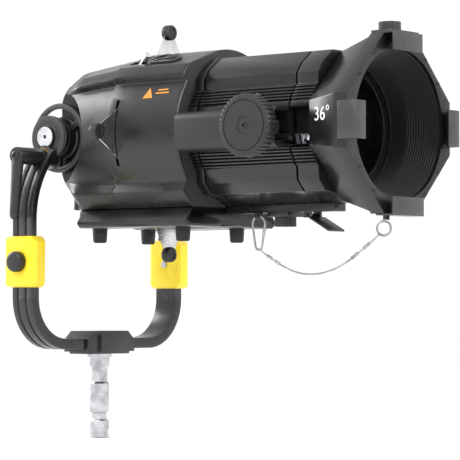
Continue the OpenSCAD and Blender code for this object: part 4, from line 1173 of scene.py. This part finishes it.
@dataclass
class Housing:
    """The rear shell, the gate housing, the base tray, the feet and the lamp mount."""

    radius: float = 118.7
    wall: float = 3.2
    rear_x: float = -4.0
    mid_x: float = 6.0
    seam_x: float = 118.0
    front_x: float = 248.0
    rear_r: float = 92.0
    shoulder_r: float = 102.7
    seam_step: float = 2.5
    blend_from: float = 4.0
    blend_to: float = 46.0
    neck_z: float = -104.0
    floor_z: float = -131.0
    recess_r: float = 64.0
    recess_y: float = 78.0
    foot_h: float = 20.0
    tray_edge: Point = (102.0, -124.0)

    def outline(self) -> list[Point]:
        """The full section, anticlockwise from the top, with its corners rounded."""
        half = arc((0, 0), self.radius, 90, 66, 5) + [(92, 93), (107, 78), (98, 69)]
        half += arc((0, 0), self.radius + 1, 33, -33, 16) + [(98, -71), (107, -84), (84, -106)]
        half += [self.tray_edge, (95, self.floor_z), (0, self.floor_z)]
        full = half + [(-y, z) for y, z in half[-2:0:-1]]
        return rounded(full, 5.0, 3)

    def ring(self, x: float, inset: float) -> list[Place]:
        """One ring of the tapering shell.

        Args:
            x: its place along the beam.
            inset: how far inside the outer face it lies.

        Returns:
            The ring's points.
        """
        if x < self.mid_x:
            turn = max(0.0, (x - self.rear_x) / (self.mid_x - self.rear_x))
            r = self.rear_r + (self.shoulder_r - self.rear_r) * math.sin(math.pi / 2 * turn)
        else:
            r = self.shoulder_r + (self.radius - self.seam_step - self.shoulder_r) * (x - self.mid_x) / (
                self.seam_x - self.mid_x)
        t = min(1.0, max(0.0, (x - self.blend_from) / (self.blend_to - self.blend_from)))
        mix = t * t * (3 - 2 * t)
        scale = (r - inset) / r
        ring = []
        for y, z in self.outline():
            k = r / self.radius
            taper = k + (1 - k) * min(1.0, max(0.0, z / self.neck_z))
            round_k = r / math.hypot(y, z)
            total = scale * ((1 - mix) * round_k + mix * taper)
            ring.append((x, total * y, AXIS_Z + total * z))
        return ring

    def build(self) -> None:
        """Make every piece of the housing."""
        self.build_shell()
        self.build_gate_housing()
        self.build_tray()
        self.build_feet()
        softened("lamp_mount_ring", "matt", "head", "baffle_black", 0.5)
        dress("front_bulkhead", "matt")
        for node, finish in (("lamp_lock", "turned"), ("condenser_cell", "matt"),
                             ("condenser_lenses", "glass"),
                             ("shutter_guide", "matt"), ("gate_plate", "stainless")):
            dress(node, finish)
        self.build_details()

    def below_neck(self, x0: float, x1: float) -> Maker:
        """What lies below the neck between two places along the beam, to be cut away."""
        return Maker("cut").block((x0, -200, AXIS_Z + self.neck_z - 200), (x1, 200, AXIS_Z + self.neck_z))

    def build_shell(self) -> None:
        """Loft the rear shell, hollow it, and cut the round pivot recesses in its sides."""
        stations = [self.rear_x + 0.6, self.rear_x + 2, self.rear_x + 4, self.rear_x + 7, self.mid_x]
        stations += [self.mid_x + (self.seam_x - self.mid_x) * i / 28 for i in range(1, 28)]
        stations += [self.seam_x - 1.2, self.seam_x - 0.01]
        outer = [self.ring(x, 0) for x in stations]
        outer[0] = self.ring(self.rear_x, 1.5)
        outer[-1] = self.ring(self.seam_x - 0.01, 1.0)
        inner = [self.ring(x, self.wall) for x in stations[1:-2]]
        inner = [self.ring(self.rear_x - 0.01, self.wall), *inner, self.ring(self.seam_x - 0.01, self.wall)]
        shell = Maker("rear_shell_casting").rings(outer + inner[::-1], capped=False, looped=True)
        cutters = [self.below_neck(-60, 150)]
        cups = Maker("pivot_recess_cups")
        for side in Side:
            s = side.value
            cutters.append(Maker("cut").turned(
                [(0, s * (self.recess_y - 1.6)), (self.recess_r + 1.6, s * (self.recess_y - 1.6)),
                 (self.recess_r + 1.6, s * 200), (0, s * 200)], Axis.ACROSS, (0, 0, AXIS_Z), 96))
            cups.turned(
                [(8.1, s * (self.recess_y - 8)), (30, s * (self.recess_y - 8)),
                 (30, s * (self.recess_y - 3.2)),
                 (self.recess_r + 3.2, s * (self.recess_y - 3.2)), (self.recess_r + 3.2, s * 122),
                 (self.recess_r, s * 122), (self.recess_r, s * self.recess_y), (8.1, s * self.recess_y)],
                Axis.ACROSS, (0, 0, AXIS_Z), 96)
        shell.done("housing", "head", "cast_housing", ["rear_shell"], sharp=28, carve=cutters)
        envelope = Maker("cut").rings([self.ring(x, 0.4) for x in [-3.4, *stations[1:-1], 117.9]])
        cups.done("housing", "head", "cast_housing", sharp=28, within=envelope)

    def build_gate_housing(self) -> None:
        """The straight housing round the gate, with its shutter, gobo and pin slots."""
        section = self.outline()

        def ring(x: float, inset: float) -> list[Place]:
            """A ring of the straight section."""
            k = (self.radius - inset) / self.radius
            return [(x, k * y, AXIS_Z + k * z) for y, z in section]

        outer = [ring(self.seam_x, 1.2), ring(self.seam_x + 0.8, 0.2), ring(self.seam_x + 1.6, 0)]
        outer += [ring(x, 0) for x in (160, 200, 240)]
        outer += [ring(self.front_x - 1.8, 0), ring(self.front_x - 0.6, 0.5), ring(self.front_x, 1.8)]
        inner = [ring(x, self.wall) for x in (self.front_x, 200, 160, self.seam_x)]
        casting = Maker("gate_housing_casting").rings(outer + inner, capped=False, looped=True)
        slots = Maker("cut")
        slots.block((131.5, -46, AXIS_Z + 60), (136.5, 46, AXIS_Z + 140))
        slots.block((131.5, -140, AXIS_Z - 46), (136.5, -60, AXIS_Z + 46))
        slots.block((131.5, 60, AXIS_Z - 46), (136.5, 140, AXIS_Z + 46))
        gobo = Maker("cut").block((144, -60, AXIS_Z + 60), (162, 60, AXIS_Z + 140))
        pin = Maker("cut")
        middle, tilt = self.flank()
        pin.prism([(124, -7), (150, -7), (150, 7), (124, 7)], -30, 30,
                  lambda u, v, h: (u, middle[0] + v * math.cos(tilt) - h * math.sin(tilt),
                                   AXIS_Z + middle[1] + v * math.sin(tilt) + h * math.cos(tilt)))
        casting.done("housing", "head", "cast_housing", ["gate_housing"], sharp=28,
                     carve=[self.below_neck(60, 300), slots, gobo, pin])

    def flank(self) -> tuple[Point, float]:
        """The middle of the near sloping flank, and its tilt about the beam in radians."""
        top = (self.radius * math.cos(math.radians(66)), self.radius * math.sin(math.radians(66)))
        middle = (-(top[0] + 92) / 2, (top[1] + 93) / 2)
        return middle, math.atan2(top[1] - 93, 92 - top[0])

    def build_tray(self) -> None:
        """The tray under the housing, with a ramp at its rear and rounded lower corners."""
        def ring(x: float, inset: float) -> list[Place]:
            """One section of the tray.

            Args:
                x: How far along the lantern it lies, in millimetres.
                inset: How far its outline is drawn in, in millimetres.

            Returns:
                The outline's places, from one upper edge round to the other.
            """
            t = min(1.0, (x - self.blend_from) / (self.blend_to - self.blend_from))
            floor = self.neck_z - 0.6 + (self.floor_z - self.neck_z + 0.6) * t
            widths = [(4, 14), (16, 44), (30, 70), (50, 108), (400, 108)]
            plan = next(
                a[1] + (b[1] - a[1]) * (x - a[0]) / (b[0] - a[0])
                for a, b in zip(widths, widths[1:]) if x <= b[0]
            )
            edge = min(self.tray_edge[0], plan) - inset
            top = min(85.6, plan) - inset
            foot = min(95.0, plan - 4) - inset
            drop = max(self.tray_edge[1], floor + 4) + inset * 0.4
            half = [(top, self.neck_z), (edge, drop), (foot, floor + inset)]
            half = [half[0], *rounded([half[0], half[1], half[2], (0, floor + inset)], 7.0, 4)[1:-1]]
            return [(x, y, AXIS_Z + z) for y, z in half + [(-y, z) for y, z in half[::-1]]]

        front = self.front_x
        outer = [ring(x, 0) for x in (5, 10, 16, 23, 30, 38, 44, 47, 50, 60, 120, 200, front - 2)]
        outer += [ring(front - 0.5, 0.6), ring(front, 1.8)]
        slots = Maker("cut").block((131.5, -46, AXIS_Z - 140), (136.5, 46, AXIS_Z - 90))
        Maker("base_tray_casting").rings(outer).done(
            "satin", "head", "satin_tray", ["base_tray"], sharp=34, carve=[slots]
        )

    def build_feet(self) -> None:
        """Four ribbed rubber feet."""
        feet = Maker("moulded_feet")
        top = AXIS_Z + self.floor_z
        for x, gap in ((48, 106), (209, 120)):
            for side in Side:
                profile = [(0.01, top), (11, top), (10.9, top - 3), (10.2, top - 3.6), (10.2, top - 4.6),
                           (10.7, top - 5.2),
                           (9.7, top - 17.6), (8.9, top - 19.2), (7.6, top - self.foot_h),
                           (4.2, top - self.foot_h),
                           (3.4, top - 17), (0.01, top - 17)]
                feet.turned(profile, Axis.UPRIGHT, (x, side.value * gap / 2, 0), 40,
                            radius_at=lambda r, _z, a: r - 0.35 * max(0.0,
                                                                      math.cos(12 * a)) if r > 9.8 else r)
        feet.done("rubber", "head", "foot_rubber", ["feet"])

    def near_skin(self, u: float, v: float, h: float) -> Place:
        """A place on the round near side: u along the beam, v up from the axis, h from the axis."""
        return u, -math.sqrt(h * h - v * v), AXIS_Z + v

    def build_details(self) -> None:
        """A recessed screw and a printed caution mark on the near side."""
        angle = math.radians(-32.5)
        out = Vector((0, -math.cos(angle), math.sin(angle)))
        centre = Vector((176.0, 0, AXIS_Z)) + out * (self.radius + 0.6)
        side = Vector((1, 0, 0))
        up = side.cross(out)
        rows = []
        for r, depth in ((5.8, 0.0), (5.4, 0.5), (4.6, 0.5), (4.2, -1.4), (1.6, -1.4)):
            rows.append([
                tuple(centre + out * depth + r * (math.cos(a) * side + math.sin(a) * up))
                for a in (math.tau * k / 32 for k in range(32))
            ])
        Maker("recessed_screw").rings(rows).done("matt", "head", "spigot_steel")
        badge = Maker("caution_mark")
        marks = [[(178.0, 46.0), (196.0, 46.0), (187.0, 61.0)], [(200.0, 51.5), (224.0, 51.5), (224.0, 53.5),
                                                                 (200.0, 53.5)],
                 [(203.0, 56.0), (221.0, 56.0), (221.0, 58.0), (203.0, 58.0)]]
        for outline in marks:
            badge.prism(outline, self.radius + 1.1, self.radius + 1.5, self.near_skin)
        badge.done("amber_ink", "head", "cast_housing")


# ---------------------------------------------------------------- shutters


@dataclass
class Shutters:
    """The four framing blades with their grips, the pattern holder's lock pin and its slot cover."""

    x: float = 134.0
    knob_r: float = 11.0
    low: float = -5.5
    high: float = 6.5

    def build(self) -> None:
        """Dress the blades and turn their grips."""
        for name, reach, turn in (("top", 150.0, 0.0), ("bottom", 168.0, 180.0), ("near", 158.0, 90.0),
                                  ("far", 158.0, -90.0)):
            dress(f"shutter_{name}", "stainless")
            self.build_grip(name, reach, math.radians(turn), -1.6 if name in ("top", "bottom") else 0.4)
        dress("gobo_lock_pin", "stainless")
        dress("slot_cover", "housing")

    def build_grip(self, name: str, reach: float, turn: float, layer: float) -> None:
        """One moulded grip, a short drum with a dished face.

        Args:
            name: its side.
            reach: its middle's distance from the optical axis.
            turn: the turn about the beam from the top, in radians.
            layer: where its blade lies, from the shutters' middle.
        """
        y, z = -reach * math.sin(turn), AXIS_Z + reach * math.cos(turn)
        low, high, r = self.low, self.high, self.knob_r
        profile = [(0.01, low + 1.2), (6.4, low + 1.2), (7.2, low), (r - 1.4, low), (r - 0.5, low + 0.4),
                   (r, low + 1.4),
                   (r, high - 1.4), (r - 0.5, high - 0.4), (r - 1.4, high), (7.2, high), (6.4, high - 1.2),
                   (0.01, high - 1.2)]
        grip = Maker(f"shutter_grip_{name}")
        grip.turned(profile, Axis.BEAM, (self.x + layer, y, z), 48,
                    radius_at=lambda q, _x, a: q - 0.3 * max(0.0, math.cos(24 * a)) if q > 10.9 else q)
        grip.done("nylon", f"shutter_{name}", "moulded_black", [f"shutter_knob_{name}"])


# ---------------------------------------------------------------- lens tube


@dataclass
class LensTube:
    """The lens barrel with its collars, rail, latch, focus cover and focus knob."""

    knob_x: float = 400.0
    knob_z: float = 311.8
    knob_back: float = 146.0
    knob_front: float = 165.0
    knob_r: float = 42.0

    def build(self) -> None:
        """Make every piece of the lens tube."""
        softened("lens_barrel", "extrusion", "head", "lens_tube", 0.7, sharp=24)
        softened("barrel_collars", "housing", "head", "cast_housing", 1.2, segments=3, sharp=24)
        softened("lens_rail", "extrusion", "head", "lens_tube", 0.8)
        softened("lens_latch", "nylon", "lens_latch", "moulded_black", 0.4)
        softened("focus_cover", "nylon", "head", "moulded_black", 2.4, segments=4)
        softened("barrel_lock_knob", "nylon", "barrel_lock_knob", "moulded_black", 0.5, sharp=35)
        for node, finish in (("lens_carriage", "matt"), ("objective_lenses", "glass"),
                             ("focus_shaft", "turned"),
                             ("focus_rack", "extrusion")):
            dress(node, finish)
        self.build_focus_knob()
        self.build_side_bracket()

    def build_focus_knob(self) -> None:
        """The big notched knob, with a dished face and a screw in its middle."""
        back, front, r = self.knob_back, self.knob_front, self.knob_r
        knob = Maker("notched_focus_knob")
        profile = [(5.2, -129.0), (20.6, -129.0), (21, -129.6), (21, -back), (r - 2.4, -back),
                   (r - 0.7, -back - 0.7),
                   (r, -back - 2.4), (r, -front + 2.2), (r - 0.7, -front + 0.6), (r - 2.2, -front),
                   (34.1, -front),
                   (33.7, -front + 0.9), (33.1, -front + 0.9), (32.7, -front), (12, -front),
                   (11.4, -front + 0.8),
                   (5.2, -front + 0.8)]
        knob.turned(profile, Axis.ACROSS, (self.knob_x, 0, self.knob_z), 320, radius_at=knurl(r, 40, 1.5))
        knob.done("nylon", "focus_knob", "moulded_black", ["focus_knob"], sharp=28)
        screw = Maker("focus_cap_screw")
        face = -front - 0.2
        screw.turned([(0.01, face + 7), (5.1, face + 7), (5.1, face + 0.9), (4.6, face + 0.4),
                      (3.4, face + 0.1),
                      (2.4, face + 0.1), (2.2, face + 1.8), (0.01, face + 1.8)],
                     Axis.ACROSS, (self.knob_x, 0, self.knob_z), 40)
        screw.done("satin", "focus_knob", "moulded_black")

    def build_side_bracket(self) -> None:
        """Two small pins on the near flank of the barrel, between the fins."""
        pins = Maker("rack_guide_pins")
        for x in (352.0, 366.0):
            pins.turned([(0.01, -93.0), (2.6, -93.0), (2.9, -92.6), (2.9, -82.0), (0.01, -82.0)],
                        Axis.ACROSS, (x, 0, AXIS_Z + 42.0), 24)
        pins.done("hub", "head", "friction_grey")


# ---------------------------------------------------------------- hood


@dataclass
class Hood:
    """The eight-sided hood with its rim, baffle, accessory clips, springs and lock screw."""

    rear_x: float = 458.0
    rim_x: float = 512.6
    front_x: float = 534.6
    throat_r: float = 83.0
    mouth_r: float = 97.2
    steps: int = 13

    def build(self) -> None:
        """Make every piece of the hood."""
        softened("hood", "housing", "head", "hood_paint", 1.6, segments=3, sharp=20)
        softened("front_rim", "housing", "head", "hood_paint", 1.1, segments=3, sharp=20)
        softened("accessory_clips", "strap", "head", "hood_paint", 0.6)
        dress("clip_springs", "stainless")
        softened("lock_screw", "nylon", "lock_screw", "moulded_black", 0.5, sharp=35)
        self.build_screws()
        self.build_baffle()
        self.build_angle_mark()

    def build_screws(self) -> None:
        """Sixteen pan screws round the rim, each with a recessed drive."""
        screws = Maker("rim_pan_screws")
        for k in range(16):
            a = math.radians(11.25 + 22.5 * k)
            centre = (0, 108.6 * math.sin(a), AXIS_Z + 108.6 * math.cos(a))
            x = self.front_x
            screws.turned([(0.01, x - 3), (2.6, x - 3), (2.6, x - 0.1), (3.3, x - 0.1), (3.3, x + 0.5),
                           (2.5, x + 1.2),
                           (1.5, x + 1.4), (1.2, x + 0.5), (0.01, x + 0.5)], Axis.BEAM, centre, 24)
        screws.done("satin", "head", "spigot_steel", ["rim_screws"])

    def build_baffle(self) -> None:
        """The stepped and ribbed inside of the hood, which keeps stray light down."""
        profile = [(self.mouth_r + 3.8, 530.6)]
        deep, step = 42.0, (self.mouth_r + 4 - self.throat_r) / self.steps
        for i in range(self.steps):
            r = self.mouth_r + 4 - step * i
            x = 530.6 - deep * i / self.steps
            profile += [(r - 0.2, x), (r - 0.2, x - deep / self.steps + 0.5),
                        (r - step + 0.2, x - deep / self.steps + 0.3)]
        x = 488.6
        while x > self.rear_x + 4:
            profile += [(self.throat_r, x), (self.throat_r, x - 1.0), (self.throat_r + 1.0, x - 1.4),
                        (self.throat_r + 1.0, x - 2.4)]
            x -= 2.8
        profile += [(self.throat_r + 2.4, self.rear_x + 1), (self.throat_r + 2.4, 488.6)]
        profile += [(self.mouth_r + 5.4 - step * (self.steps - i),
                     488.6 + deep * i / self.steps) for i in range(1, self.steps)]
        Maker("hood_baffle_ribs").turned(profile, Axis.BEAM, (0, 0, AXIS_Z), 128).done(
            "matt", "head", "baffle_black", ["hood_baffle"], sharp=20
        )

    def build_angle_mark(self) -> None:
        """The beam angle printed on the near facet of the hood."""
        curve = bpy.data.curves.new("angle_mark", "FONT")
        curve.body = "36°"
        curve.size = 26 * MM
        curve.extrude = 0.1 * MM
        curve.align_x = "CENTER"
        text = bpy.data.objects.new("angle_mark_source", curve)
        bpy.context.scene.collection.objects.link(text)
        data = bpy.data.meshes.new_from_object(text.evaluated_get(bpy.context.evaluated_depsgraph_get()))
        bpy.data.objects.remove(text)
        slope = math.atan2(117.0 - 99.0, self.rim_x - self.rear_x)
        mark = bpy.data.objects.new("beam_angle_mark", data)
        bpy.context.scene.collection.objects.link(mark)
        for vert in data.vertices:
            u, v, w = vert.co
            x = 486 * MM + u * math.cos(slope)
            y = -(99 * MM + (x - self.rear_x * MM) * math.tan(slope)) - 0.15 * MM - w
            vert.co = (x, y, AXIS_Z * MM + 2 * MM + v)
        data.materials.clear()
        data.materials.append(FINISHES.get("white_ink"))
        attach(mark, "head")


# ---------------------------------------------------------------- the whole


def main() -> None:
    """Build the scene."""
    logging.basicConfig(level=logging.INFO, format="%(name)s: %(message)s")
    Studio().build()
    SafetyCable().build()
    for assembly in (Yoke(), TiltPivot(), Housing(), Shutters(), LensTube(), Hood()):
        assembly.build()
    left = [name for name, node in NODES.items() if not node.data.materials]
    LOG.info("nodes without a finish: %s", left)


if __name__ == "__main__":
    main()
